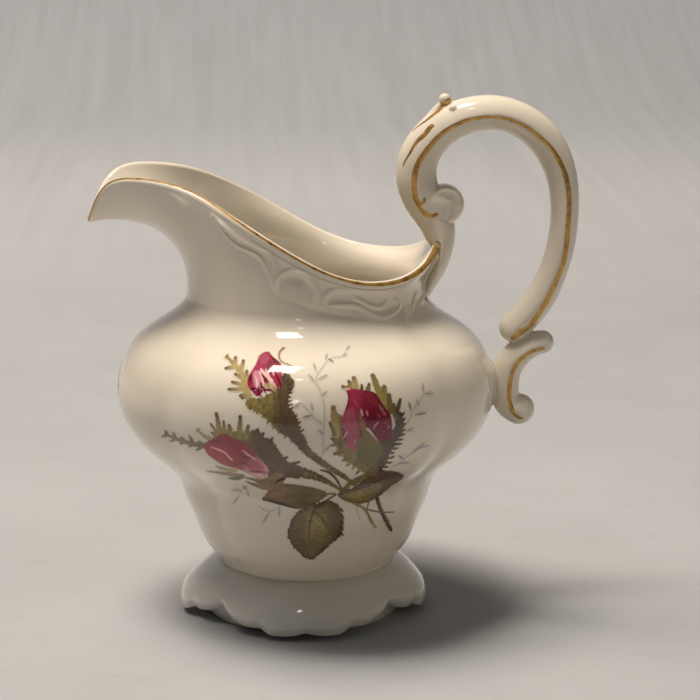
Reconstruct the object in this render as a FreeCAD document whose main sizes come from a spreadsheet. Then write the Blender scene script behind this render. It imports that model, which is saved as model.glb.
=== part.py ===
import FreeCAD, Part
import math
import os
import Sketcher

# A porcelain cream jug: a slip-cast body on a separately cast pedestal foot, a scroll handle,
# the slip layers that join the three castings, fired gilding and printed rose transfers.
# Millimetres, +Z up. The origin is the centre of the foot on the table. The spout points
# along -X, the handle along +X, and the jug is symmetric about the plane Y = 0.

Vector = FreeCAD.Vector

SIZES = (
    ("foot_height", 12.6),          # table to the top of the pedestal
    ("foot_slip", 0.4),             # thickness of the slip between foot and body
    ("foot_reach", 31.7),           # radius of the pedestal's lobes
    ("foot_cusp", 4.6),             # how far the four cusps cut into the pedestal's edge
    ("foot_cusp_lift", 3.2),        # how far the edge rises to each cusp
    ("foot_notch", 1.1),            # depth of the small notches between cusps
    ("foot_under_rise", 2.2),       # hollow between the pedestal's edge and its resting ring
    ("foot_bore_top", 15.0),        # radius of the hollow under the bowl
    ("foot_slip_inner", 15.4),      # inner and outer radius of the slip under the bowl
    ("foot_slip_outer", 20.6),
    ("rest_outer", 24.3),           # outer radius of the resting ring
    ("rest_inner", 21.6),           # inner radius of the resting ring
    ("axis_shift", 1.3),            # body axis from the foot's centre, towards the handle
    ("belly_radius", 47.3),
    ("neck_height", 83.0),          # height of the narrowest part of the neck
    ("split_height", 84.0),         # where the model parts the bowl from the neck
    ("crease_depth", 2.4),          # depth of the creases between the four lobes
    ("crease_bearing", 41.0),       # bearing of the creases from the handle and the spout
    ("crease_spread", 13.0),        # degrees over which a crease fades
    ("wall", 2.7),                  # wall of the belly and neck
    ("lip_wall", 2.1),              # wall at the rim
    ("floor_thickness", 3.0),
    ("floor_radius", 5.0),          # radius of the flat middle of the inner floor
    ("slip_layer", 0.35),           # slip between the handle and the body
    ("gold_layer", 0.1),
    ("transfer_layer", 0.08),
    ("rim_gold_start", 5.0),        # where the rim's gold begins and ends on the half-round lip
    ("rim_gold_end", 105.0),
    ("ridge_gold", 12.0),           # half the bearing that the gold covers on a handle's ridge
    ("volute_radius", 4.8),
    ("volute_half_width", 4.7),
    ("volute_round", 1.6),          # radius of the volute's rounded edges
    ("bead_radius", 1.6),
)

# How sharply the shallow creases of the bowl, the cusps of the pedestal and its small notches
# turn at their middle, in degrees, and the degrees over which the last two fade.
CREASE_ROUNDNESS = 3.5
CUSP_SPREAD, CUSP_ROUNDNESS = 11.0, 2.0
NOTCH_SPREAD, NOTCH_ROUNDNESS = 2.6, 1.2
EDGE_EASE = 1.6                 # power by which cusps and notches grow towards the pedestal's edge

# The belly's outline from the foot up to the narrowest part of the neck, as shares of
# belly_radius, of crease_depth and of the height between foot and neck.
BELLY_OUTLINE = (
    (0.4545, 0.20, 0.000), (0.541, 0.40, 0.064), (0.598, 0.56, 0.150), (0.653, 0.66, 0.243),
    (0.715, 0.78, 0.336), (0.825, 0.90, 0.403), (0.934, 0.98, 0.484), (1.000, 1.00, 0.614),
    (0.968, 0.92, 0.736), (0.850, 0.72, 0.837), (0.710, 0.44, 0.899), (0.638, 0.28, 0.951),
    (0.626, 0.20, 1.000),
)

# The neck, every 15 degrees from the handle round to the spout: how far the wall first rises
# straight, the point that pulls it outward below the rim, and the top of the rim itself.
NECK_STEP = 15.0
NECK_STATIONS = (
    (4.0, (33.5, 0.0, 89.5), (35.1, 0.0, 93.7)),
    (3.4, (32.0, 8.0, 88.3), (33.3, 8.5, 92.0)),
    (2.6, (28.4, 15.2, 86.3), (29.3, 16.0, 89.3)),
    (2.2, (23.0, 21.3, 85.5), (23.8, 22.3, 87.7)),
    (2.2, (16.2, 26.1, 85.8), (17.0, 27.0, 87.7)),
    (3.2, (9.0, 28.7, 87.0), (9.5, 29.9, 89.5)),
    (4.5, (1.0, 29.4, 90.0), (1.0, 31.0, 93.1)),
    (7.0, (-9.0, 27.5, 94.8), (-9.8, 29.8, 99.3)),
    (9.5, (-19.3, 23.6, 99.3), (-19.5, 24.8, 105.4)),
    (12.0, (-29.0, 18.2, 102.5), (-28.7, 19.0, 109.9)),
    (14.5, (-38.0, 12.2, 103.6), (-39.5, 14.5, 111.4)),
    (16.5, (-43.8, 6.6, 101.8), (-48.5, 9.2, 107.8)),
    (17.5, (-46.2, 0.0, 100.1), (-52.2, 0.0, 98.6)),
)

# The pedestal's outer outline over a lobe: radius as a share of foot_reach, and height.
FOOT_OUTLINE = (
    (0.672, 12.6), (0.77, 11.5), (0.861, 9.0), (0.953, 6.4), (0.991, 4.4), (1.0, 2.4), (0.981, 0.5),
)
# The hollow's outline: how far it has closed in from the resting ring, and height.
FOOT_BORE_OUTLINE = ((0.0, 0.0), (0.10, 2.6), (0.42, 7.0), (0.78, 10.6), (1.0, 12.6))
LOBE_BEARINGS = (0.0, 90.0, 180.0, 270.0)
NOTCH_BEARINGS = (-20.0, 0.0, 20.0)     # of the small notches from the middle of each lobe

# Stations along the handle's loop, from its lower tongue over the top to the neck:
# x, z, half the depth in the plane of the handle, half the width across it.
LOOP_STATIONS = (
    (53.3, 71.4, 3.8, 3.9), (58.9, 77.8, 3.9, 4.0), (62.3, 84.2, 3.6, 4.1), (64.4, 91.0, 3.55, 4.2),
    (65.4, 98.0, 3.5, 4.3), (65.4, 104.0, 3.65, 4.4), (64.5, 109.8, 3.85, 4.5), (61.8, 116.4, 4.2, 4.6),
    (57.2, 121.6, 4.3, 4.7), (51.0, 124.8, 4.25, 4.8), (44.6, 125.3, 4.4, 4.9), (38.2, 123.6, 4.6, 5.0),
    (32.9, 120.0, 4.8, 5.1), (29.5, 115.0, 5.0, 5.2), (28.6, 109.6, 5.1, 5.2), (30.2, 104.2, 4.9, 5.2),
    (33.0, 99.6, 4.6, 5.3), (34.5, 95.4, 4.0, 5.8), (34.8, 91.0, 2.9, 6.2), (33.2, 86.5, 2.7, 6.2),
    (31.6, 82.0, 2.4, 5.6), (31.0, 78.0, 2.6, 4.6),
)
SCROLL_STATIONS = (
    (60.4, 67.6, 3.0, 3.4), (57.4, 66.8, 3.3, 3.9), (54.0, 64.3, 3.6, 4.2), (51.7, 60.6, 3.7, 4.3),
    (51.1, 56.2, 3.7, 4.3), (52.0, 52.2, 3.6, 4.2), (54.8, 50.4, 4.0, 4.0),
)
SPRIG_STATIONS = (
    (27.6, 117.2, 1.0, 2.2), (30.0, 121.6, 1.5, 2.4), (32.8, 125.4, 1.5, 2.0), (35.4, 128.2, 1.2, 1.4),
)
VOLUTE_CENTRE = (35.6, 102.8)
BEAD_CENTRE = (35.5, 128.7)
DOME_TURNS = (80.0, 62.0, 42.0, 22.0)   # sections that round off the end of a bar

# Runs of gold along the bars: first and last station, and bearing on the section.
LOOP_GOLD = (0.4, 14.7, 90.0)
SCROLL_GOLD = (0.2, 5.4, 90.0)
LEAF_GOLDS = ((11.6, 13.7, 52.0), (10.6, 12.4, 22.0))
JOINT_SPLIT = 70.0                      # height between the handle's upper and lower joints

# Outlines of the printed rose spray, in the X-Z plane as it is seen from the front.
SPRAY_OUTLINES = {
    "first_bud": (
        (-12.0, 66.0), (-10.6, 71.5), (-6.4, 73.9), (-3.0, 70.0), (-2.4, 64.0), (-4.6, 60.4), (-9.0, 62.2),
    ),
    "second_bud": (
        (7.0, 53.0), (7.6, 63.0), (12.4, 67.6), (18.0, 63.5), (22.6, 57.0), (21.0, 49.0), (15.4, 44.8),
    ),
    "third_bud": (
        (-23.4, 50.0), (-20.4, 56.6), (-13.0, 57.0), (-4.4, 50.0), (-1.6, 43.4), (-9.0, 43.6),
        (-17.6, 45.4),
    ),
    "left_leaf": ((-9.6, 39.6), (-4.0, 42.6), (2.6, 41.4), (6.4, 38.6), (0.4, 36.0), (-6.0, 36.6)),
    "right_leaf": ((8.2, 38.4), (13.4, 43.6), (19.4, 44.2), (24.4, 42.2), (19.6, 37.0), (13.0, 35.4)),
    "bottom_leaf": (
        (2.4, 35.6), (-2.8, 31.0), (-3.4, 24.6), (2.0, 19.4), (7.4, 23.0), (9.4, 30.0), (6.6, 34.6),
    ),
    "long_stem": (
        (-4.6, 60.4), (-2.6, 58.2), (9.2, 43.4), (17.0, 27.4), (15.4, 27.0), (6.8, 41.0), (-5.8, 57.4),
    ),
    "short_stem": (
        (-2.4, 45.2), (7.6, 40.6), (14.6, 36.2), (22.4, 24.8), (20.8, 24.6), (13.0, 33.8), (-2.8, 42.6),
    ),
    "left_sprig": ((-18.6, 71.8), (-15.0, 69.6), (-11.4, 66.4), (-12.2, 63.0), (-16.0, 66.6)),
    "right_sprig": ((22.0, 53.4), (25.4, 56.6), (28.8, 63.4), (27.2, 64.6), (24.4, 59.0), (21.4, 55.6)),
    "upper_sprig": (
        (3.4, 51.6), (4.4, 60.0), (3.6, 67.4), (10.2, 73.6), (8.8, 74.6), (2.2, 69.6), (2.4, 60.0),
        (2.0, 52.0),
    ),
}
SPOUT_SPRIG_OUTLINE = (
    (-4.0, 50.5), (-6.4, 56.0), (-3.4, 61.0), (0.6, 64.8), (4.2, 60.0), (5.4, 54.0), (1.0, 51.6),
)

# Where the transfers lie: the middle bearing, the bearing to each side, and the belly's levels.
SPRAY_PATCH = (270.0, 47.0)
SPOUT_SPRIG_PATCH = (180.0, 20.0)
PATCH_LEVELS = (0.06, 0.92)

SEGMENTS_AROUND = 72            # meridians of the bowl and neck; the pedestal has twice as many
BORE_SEGMENTS = 24              # meridians of the pedestal's hollow
HANDLE_SEGMENTS = 24            # points round a handle section


def make_sheet(doc):
    """The driving dimensions, each in its own named cell."""
    sheet = doc.addObject("Spreadsheet::Sheet", "Sizes")
    for row, (alias, value) in enumerate(SIZES, 1):
        sheet.set(f"A{row}", alias)
        sheet.set(f"B{row}", str(value))
        sheet.setAlias(f"B{row}", alias)
    doc.recompute()
    return sheet


def interpolate(points, parameters, closed=False):
    """A smooth curve through points at the given parameters; a closed one returns to the first point."""
    curve = Part.BSplineCurve()
    curve.interpolate(Points=points, PeriodicFlag=closed, Parameters=parameters)
    return curve


def chord_parameters(points):
    """Parameters that grow by the distance from point to point."""
    parameters = [0.0]
    for start, end in zip(points, points[1:]):
        parameters.append(parameters[-1] + max(start.distanceToPoint(end), 1e-3))
    return parameters


def station_curve(stations):
    """A curve through a list of points, parametrised by the station's number."""
    numbers = [float(number) for number in range(len(stations))]
    return interpolate([Vector(*station) for station in stations], numbers)


def mirrored_ring(points, step):
    """A closed curve, by bearing, through points on the +Y side and their mirror images on the -Y side."""
    far_side = [Vector(*point) for point in points]
    near_side = [Vector(point.x, -point.y, point.z) for point in far_side[-2:0:-1]]
    ring = far_side + near_side
    return interpolate(ring, [step * i for i in range(len(ring) + 1)], closed=True)


def skin(point_at, around, along, closed):
    """A smooth surface through point_at(u, v); a closed one wraps round at 360 degrees."""
    grid = [[point_at(u, v) for u in around] for v in along]
    around_parameters = list(around) + [around[0] + 360.0] if closed else list(around)
    rows = [interpolate(row, around_parameters, closed) for row in grid]
    steps = [0.0]
    for lower, upper in zip(grid, grid[1:]):
        gaps = [start.distanceToPoint(end) for start, end in zip(lower, upper)]
        steps.append(steps[-1] + sum(gaps) / len(gaps))
    row_poles = [row.getPoles() for row in rows]
    columns = [interpolate([poles[i] for poles in row_poles], steps) for i in range(len(row_poles[0]))]
    surface = Part.BSplineSurface()
    surface.buildFromPolesMultsKnots(
        [column.getPoles() for column in columns],
        rows[0].getMultiplicities(),
        columns[0].getMultiplicities(),
        rows[0].getKnots(),
        columns[0].getKnots(),
        closed,
        False,
        3,
        3,
    )
    return surface


def end_edge(surface, last):
    """The edge along u at the first or last v of a surface."""
    bounds = surface.bounds()
    return surface.vIso(bounds[3] if last else bounds[2]).toShape()


def side_edge(surface, last):
    """The edge along v at the first or last u of a surface."""
    bounds = surface.bounds()
    return surface.uIso(bounds[1] if last else bounds[0]).toShape()


def flat_cap(*edges):
    """A flat face inside one closed edge, or between an outer and an inner one."""
    return Part.makeFace([Part.Wire([edge]) for edge in edges], "Part::FaceMakerBullseye")


def closed_solid(faces):
    """One solid from faces that meet at their edges."""
    shell = Part.Shell(faces)
    shell.sewShape()
    solid = Part.Solid(shell)
    if solid.Volume < 0:
        solid.reverse()
    return solid


def thin_layer(point_at, around, along, thickness, closed=False):
    """A thin solid that lies on point_at(u, v, offset) and stands proud of it by thickness."""
    inner = skin(lambda u, v: point_at(u, v, 0.0), around, along, closed)
    outer = skin(lambda u, v: point_at(u, v, thickness), around, along, closed)
    faces = [inner.toShape(), outer.toShape()]
    for last in (False, True):
        faces.append(Part.makeRuledSurface(end_edge(inner, last), end_edge(outer, last)))
        if not closed:
            faces.append(Part.makeRuledSurface(side_edge(inner, last), side_edge(outer, last)))
    return closed_solid(faces)


def spaced(first, last, count):
    """Evenly spaced numbers, both ends included."""
    return [first + (last - first) * i / (count - 1) for i in range(count)]


def bearing_gap(bearing, other):
    """The angle between two bearings, 0 to 180."""
    return abs((bearing - other + 180.0) % 360.0 - 180.0)


def soft_peak(gap, spread, roundness):
    """1 on a crease, fading smoothly over spread degrees on each side of it."""
    return math.exp((roundness - math.hypot(gap, roundness)) / spread)


class Body:
    """The outer shape of bowl, neck and spout: level 0 to 1 is the belly, 1 to 2 the neck to the rim."""

    def __init__(self, sheet):
        self.shift = sheet.axis_shift
        self.wall = sheet.wall
        self.lip_wall = sheet.lip_wall
        bearing = sheet.crease_bearing
        self.creases = (bearing, 180.0 - bearing, 180.0 + bearing, 360.0 - bearing)
        self.spread = sheet.crease_spread
        base = sheet.foot_height + sheet.foot_slip
        rise = sheet.neck_height - base
        outline = [
            Vector(radius * sheet.belly_radius, crease * sheet.crease_depth, base + height * rise)
            for radius, crease, height in BELLY_OUTLINE
        ]
        heights = [height for _, _, height in BELLY_OUTLINE]
        self.outline = interpolate(outline, heights)
        bearings = [math.radians(NECK_STEP * i) for i in range(len(NECK_STATIONS))]
        rises = [(row[0], math.sin(turn), math.cos(turn)) for row, turn in zip(NECK_STATIONS, bearings)]
        self.rises = mirrored_ring(rises, NECK_STEP)
        self.pulls = mirrored_ring([pull for _, pull, _ in NECK_STATIONS], NECK_STEP)
        self.rim = mirrored_ring([rim for _, _, rim in NECK_STATIONS], NECK_STEP)

    def crease(self, bearing):
        gaps = [bearing_gap(bearing, crease) for crease in self.creases]
        return sum(soft_peak(gap, self.spread, CREASE_ROUNDNESS) for gap in gaps)

    def belly(self, bearing, level):
        at = self.outline.value(level)
        radius = at.x - at.y * self.crease(bearing)
        turn = math.radians(bearing)
        return Vector(self.shift + radius * math.cos(turn), radius * math.sin(turn), at.z)

    def wall_end(self, bearing):
        """Where the wall stops and its half-round lip begins, below the rim."""
        rim = self.rim.value(bearing)
        return rim - (rim - self.pulls.value(bearing)).normalize() * (self.lip_wall / 2)

    def outer(self, bearing, level):
        if level <= 1.0:
            return self.belly(bearing, level)
        bearing = bearing % 360.0
        up = level - 1.0
        down = 1.0 - up
        neck = self.belly(bearing, 1.0)
        straight = neck + Vector(0, 0, self.rises.value(bearing).x)
        return (
            neck * down**3
            + straight * (3 * down**2 * up)
            + self.pulls.value(bearing) * (3 * down * up**2)
            + self.wall_end(bearing) * up**3
        )

    def slope(self, bearing, level):
        """The upward direction and the outward normal of the outer wall."""
        small = 0.004
        across = self.outer(bearing + 0.2, level) - self.outer(bearing - 0.2, level)
        lower = max(level - small, 0.0)
        upper = min(level + small, 2.0)
        upward = self.outer(bearing, upper) - self.outer(bearing, lower)
        normal = across.cross(upward).normalize()
        return normal.cross(across).normalize(), normal

    def thickness(self, level):
        """The wall thins evenly from the neck to the rim."""
        return self.wall - (self.wall - self.lip_wall) * max(level - 1.0, 0.0)

    def outer_wall(self, bearing, level, offset=0.0):
        return self.outer(bearing, level) + self.slope(bearing, level)[1] * offset

    def inner_wall(self, bearing, level, offset=0.0):
        depth = self.thickness(level) + offset
        return self.outer(bearing, level) - self.slope(bearing, level)[1] * depth

    def lip(self, bearing, turn, offset=0.0):
        """The half-round lip: turn 0 is its outer side, 180 its inner side."""
        upward, normal = self.slope(bearing, 2.0)
        half = self.lip_wall / 2
        centre = self.outer(bearing, 2.0) - normal * half
        angle = math.radians(turn)
        return centre + (normal * math.cos(angle) + upward * math.sin(angle)) * (half + offset)


INNER_START = 0.13              # belly level at which the inner wall turns into the rounded floor


def make_body_solid(body, sheet, offset=0.0):
    """The hollow casting as a solid, with every surface but the base moved outward by offset."""
    base_height = sheet.foot_height + sheet.foot_slip
    floor_height = base_height + sheet.floor_thickness + offset

    def point_at(bearing, place):
        kind, value = place
        if kind == "outer":
            point = body.outer_wall(bearing, value, offset)
            return Vector(point.x, point.y, max(point.z, base_height))
        if kind == "lip":
            return body.lip(bearing, value, offset)
        if kind == "inner":
            return body.inner_wall(bearing, value, offset)
        edge = body.inner_wall(bearing, INNER_START, offset)
        turn = math.radians(value)
        reach = math.hypot(edge.x - body.shift, edge.y) * math.cos(turn)
        height = floor_height + (edge.z - floor_height) * (1 - math.sin(turn))
        if kind == "floor":
            reach = sheet.floor_radius
            height = floor_height
        heading = math.atan2(edge.y, edge.x - body.shift)
        return Vector(body.shift + reach * math.cos(heading), reach * math.sin(heading), height)

    belly = spaced(0.0, 1.0, 19)
    neck = spaced(1.0, 2.0, 10)
    rows = [("outer", level) for level in belly + neck[1:]]
    rows += [("lip", turn) for turn in (30, 60, 90, 120, 150)]
    rows += [("inner", level) for level in reversed(neck)]
    rows += [("inner", level) for level in spaced(0.94, INNER_START, 14)]
    rows += [("bowl", turn) for turn in (22, 44, 62)]
    rows.append(("floor", 0))
    around = spaced(0.0, 360.0, SEGMENTS_AROUND + 1)[:-1]
    wall = skin(point_at, around, rows, closed=True)
    return closed_solid([wall.toShape(), flat_cap(end_edge(wall, False)), flat_cap(end_edge(wall, True))])


def make_foot_solid(body, sheet):
    """The pedestal: a scalloped flare with a turned-up edge, hollow under the body, on a flat ring."""
    outline = station_curve([(share * sheet.foot_reach, height, 0.0) for share, height in FOOT_OUTLINE])
    last = len(FOOT_OUTLINE) - 1.0
    notches = [lobe + turn for lobe in LOBE_BEARINGS for turn in NOTCH_BEARINGS]

    def edge_shape(bearing):
        """How deep the cusps and how deep the small notches are at a bearing."""
        to_cusps = [bearing_gap(bearing, crease) for crease in body.creases]
        to_notches = [bearing_gap(bearing, notch) for notch in notches]
        cusp = sum(soft_peak(gap, CUSP_SPREAD, CUSP_ROUNDNESS) for gap in to_cusps)
        notch = sum(soft_peak(gap, NOTCH_SPREAD, NOTCH_ROUNDNESS) for gap in to_notches)
        return cusp, notch

    def flare(bearing, level):
        at = outline.value(level)
        low = (1.0 - at.y / sheet.foot_height) ** EDGE_EASE
        cusp, notch = edge_shape(bearing)
        pinch = sheet.foot_cusp * cusp + sheet.foot_notch * notch
        lift = sheet.foot_cusp_lift * cusp + sheet.foot_notch * notch
        neck_crease = body.outline.value(0.0).y * body.crease(bearing) * (1 - low)
        radius = at.x - pinch * low - neck_crease
        return radius, at.y + lift * low

    def point_at(bearing, place):
        kind, value = place
        turn = math.radians(bearing)
        if kind == "flare":
            radius, height = flare(bearing, value)
        else:
            edge_radius, edge_height = flare(bearing, last)
            radius = sheet.rest_outer + (edge_radius - sheet.rest_outer) * value
            height = edge_height * value + sheet.foot_under_rise * value * (1 - value) ** 0.5
        shift = body.shift * height / sheet.foot_height
        return Vector(shift + radius * math.cos(turn), radius * math.sin(turn), height)

    def bore_at(bearing, row):
        share, height = row
        turn = math.radians(bearing)
        radius = sheet.rest_inner + (sheet.foot_bore_top - sheet.rest_inner) * share
        shift = body.shift * height / sheet.foot_height
        return Vector(shift + radius * math.cos(turn), radius * math.sin(turn), height)

    around = spaced(0.0, 360.0, 2 * SEGMENTS_AROUND + 1)[:-1]
    rows = [("flare", level) for level in spaced(0.0, last, 11)]
    rows += [("under", share) for share in (0.8, 0.5, 0.2, 0.0)]
    outside = skin(point_at, around, rows, closed=True)
    bore = skin(bore_at, spaced(0.0, 360.0, BORE_SEGMENTS + 1)[:-1], FOOT_BORE_OUTLINE, closed=True)
    top = flat_cap(end_edge(outside, False), end_edge(bore, True))
    rest = flat_cap(end_edge(outside, True), end_edge(bore, False))
    return closed_solid([outside.toShape(), bore.toShape(), top, rest])


class Tube:
    """A bar of lens-shaped section along stations in the plane Y = 0, with a ridge on each side."""

    def __init__(self, stations):
        self.last = len(stations) - 1.0
        self.spine = station_curve([(x, 0.0, z) for x, z, _, _ in stations])
        self.girth = station_curve([(row[2], row[3], number) for number, row in enumerate(stations)])

    def frame(self, station):
        centre = self.spine.value(station)
        direction = self.spine.tangent(station)[0]
        outward = Vector(0, 1, 0).cross(direction)
        return centre, direction, outward, self.girth.value(station)

    def point(self, turn, station, offset=0.0, share=1.0, reach=0.0):
        """turn 0 is the outer side of the bar, 90 its +Y ridge; share and reach round off an end."""
        centre, direction, outward, girth = self.frame(station)
        angle = math.radians(turn)
        flat = math.cos(angle) * abs(math.cos(angle)) ** 0.25
        depth = girth.x * share + offset
        width = girth.y * share + offset
        across = outward * (flat * depth) + Vector(0, 1, 0) * (math.sin(angle) * width)
        return centre + direction * (reach * girth.x) + across

    def solid(self):
        """The bar with rounded ends."""
        domes = [math.radians(turn) for turn in DOME_TURNS]
        rows = [(0.0, math.cos(turn), -math.sin(turn)) for turn in domes]
        rows += [(station, 1.0, 0.0) for station in spaced(0.0, self.last, int(2 * self.last) + 1)]
        rows += [(self.last, math.cos(turn), math.sin(turn)) for turn in reversed(domes)]
        around = spaced(0.0, 360.0, HANDLE_SEGMENTS + 1)[:-1]

        def point_at(turn, row):
            station, share, reach = row
            return self.point(turn, station, 0.0, share, reach)

        bar = skin(point_at, around, rows, closed=True)
        return closed_solid([bar.toShape(), flat_cap(end_edge(bar, False)), flat_cap(end_edge(bar, True))])

    def ridge_gold(self, sheet, side, run):
        """Gold along one run of the bar; side is 1 on the +Y face and -1 on the -Y face."""
        first, last, middle = run
        turns = [side * turn for turn in spaced(middle - sheet.ridge_gold, middle + sheet.ridge_gold, 5)]
        stations = spaced(first, last, int(3 * abs(last - first)) + 3)
        return thin_layer(self.point, sorted(turns), stations, sheet.gold_layer)


def place_feature(doc, name, shape):
    """A named sub-part of the document that holds a finished shape."""
    feature = doc.addObject("Part::Feature", name)
    feature.Label = name
    feature.Shape = shape
    feature.Placement = FreeCAD.Placement()
    return feature


def make_foot_slip(doc):
    """The washer of slip between the pedestal and the bowl, padded from a sketch of two circles."""
    part = doc.addObject("PartDesign::Body", "foot_slip_joint")
    part.Label = "foot_slip_joint"
    ground = next(item for item in part.Origin.OriginFeatures if item.Role == "XY_Plane")
    sketch = part.newObject("Sketcher::SketchObject", "slip_rings")
    sketch.AttachmentSupport = (ground, [""])
    sketch.MapMode = "FlatFace"
    for name in ("foot_slip_inner", "foot_slip_outer"):
        radius = dict(SIZES)[name]
        ring = sketch.addGeometry(Part.Circle(Vector(0, 0, 0), Vector(0, 0, 1), radius), False)
        sketch.addConstraint(Sketcher.Constraint("Coincident", ring, 3, -1, 1))
        size = sketch.addConstraint(Sketcher.Constraint("Radius", ring, radius))
        sketch.renameConstraint(size, name)
        sketch.setExpression("Constraints." + name, "Sizes." + name)
    pad = part.newObject("PartDesign::Pad", "slip_pad")
    pad.Profile = sketch
    pad.setExpression("Length", "Sizes.foot_slip")
    part.setExpression("Placement.Base.x", "Sizes.axis_shift")
    part.setExpression("Placement.Base.z", "Sizes.foot_height")
    return part


def make_bowl_and_neck(doc, casting):
    """The body casting, parted above the narrowest ring: the bowl under it, the neck and spout above."""
    whole = doc.addObject("Part::Feature", "body_casting")
    whole.Shape = casting
    upper_space = doc.addObject("Part::Box", "space_above_neck")
    for side in ("Length", "Width", "Height"):
        upper_space.setExpression(side, "4 * Sizes.belly_radius")
    for axis in ("x", "y"):
        upper_space.setExpression("Placement.Base." + axis, "-2 * Sizes.belly_radius")
    upper_space.setExpression("Placement.Base.z", "Sizes.split_height")
    bowl = doc.addObject("Part::Cut", "bowl")
    neck = doc.addObject("Part::Common", "neck_and_spout")
    for piece in (bowl, neck):
        piece.Base = whole
        piece.Tool = upper_space
        piece.Label = piece.Name
    return bowl, neck


def make_volute(doc):
    """The round boss inside the handle's upper curl, a turned disc with rounded edges."""
    disc = doc.addObject("Part::Cylinder", "volute_disc")
    disc.setExpression("Radius", "Sizes.volute_radius")
    disc.setExpression("Height", "2 * Sizes.volute_half_width")
    facing_sideways = FreeCAD.Rotation(Vector(1, 0, 0), 90)
    disc.Placement = FreeCAD.Placement(Vector(VOLUTE_CENTRE[0], 0, VOLUTE_CENTRE[1]), facing_sideways)
    disc.setExpression("Placement.Base.y", "Sizes.volute_half_width")
    doc.recompute()
    rounded = doc.addObject("Part::Fillet", "volute_boss")
    rounded.Base = disc
    radius = dict(SIZES)["volute_round"]
    edges = enumerate(disc.Shape.Edges, 1)
    rims = [number for number, edge in edges if edge.Curve.TypeId == "Part::GeomCircle"]
    rounded.Edges = [(number, radius, radius) for number in rims]
    return rounded


def make_bead(doc):
    """The round bud at the tip of the thumb sprig."""
    bead = doc.addObject("Part::Sphere", "sprig_bead")
    bead.setExpression("Radius", "Sizes.bead_radius")
    bead.Placement = FreeCAD.Placement(Vector(BEAD_CENTRE[0], 0, BEAD_CENTRE[1]), FreeCAD.Rotation())
    return bead


def outline_prism(points, heading, length):
    """A prism from a closed smooth outline, which lies in the plane that faces heading, to the Z axis."""
    turn = math.radians(heading)
    outward = Vector(math.cos(turn), math.sin(turn), 0)
    sideways = Vector(-outward.y, outward.x, 0)
    corners = [outward * length + sideways * across + Vector(0, 0, z) for across, z in points]
    travel = outward * -length
    parameters = chord_parameters(corners + corners[:1])
    outline = interpolate(corners, parameters, closed=True)
    return Part.Face(Part.Wire([outline.toShape()])).extrude(travel)


def make_transfer(body, sheet, outlines, patch):
    """Printed patches that lie on the belly round one bearing, one thin solid for each outline."""
    bearing, half_angle = patch
    around = spaced(bearing - half_angle, bearing + half_angle, 23)
    layer = thin_layer(body.outer_wall, around, spaced(*PATCH_LEVELS, 25), sheet.transfer_layer)
    reach = body.shift + 1.2 * sheet.belly_radius
    pieces = [layer.common(outline_prism(points, bearing, reach)) for points in outlines]
    return Part.makeCompound([solid for piece in pieces for solid in piece.Solids])


def separate_patches(patches):
    """Thin patches joined where they overlap, so that no two share any space."""
    joined = patches[0]
    if len(patches) > 1:
        joined = joined.multiFuse(list(patches[1:]))
    return Part.makeCompound(joined.Solids)


def make_rim_gold(body, sheet):
    """The fired gold band over the outer shoulder of the lip."""
    around = spaced(0.0, 360.0, SEGMENTS_AROUND + 1)[:-1]
    turns = spaced(sheet.rim_gold_start, sheet.rim_gold_end, 7)
    return thin_layer(body.lip, around, turns, sheet.gold_layer, closed=True)


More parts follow.
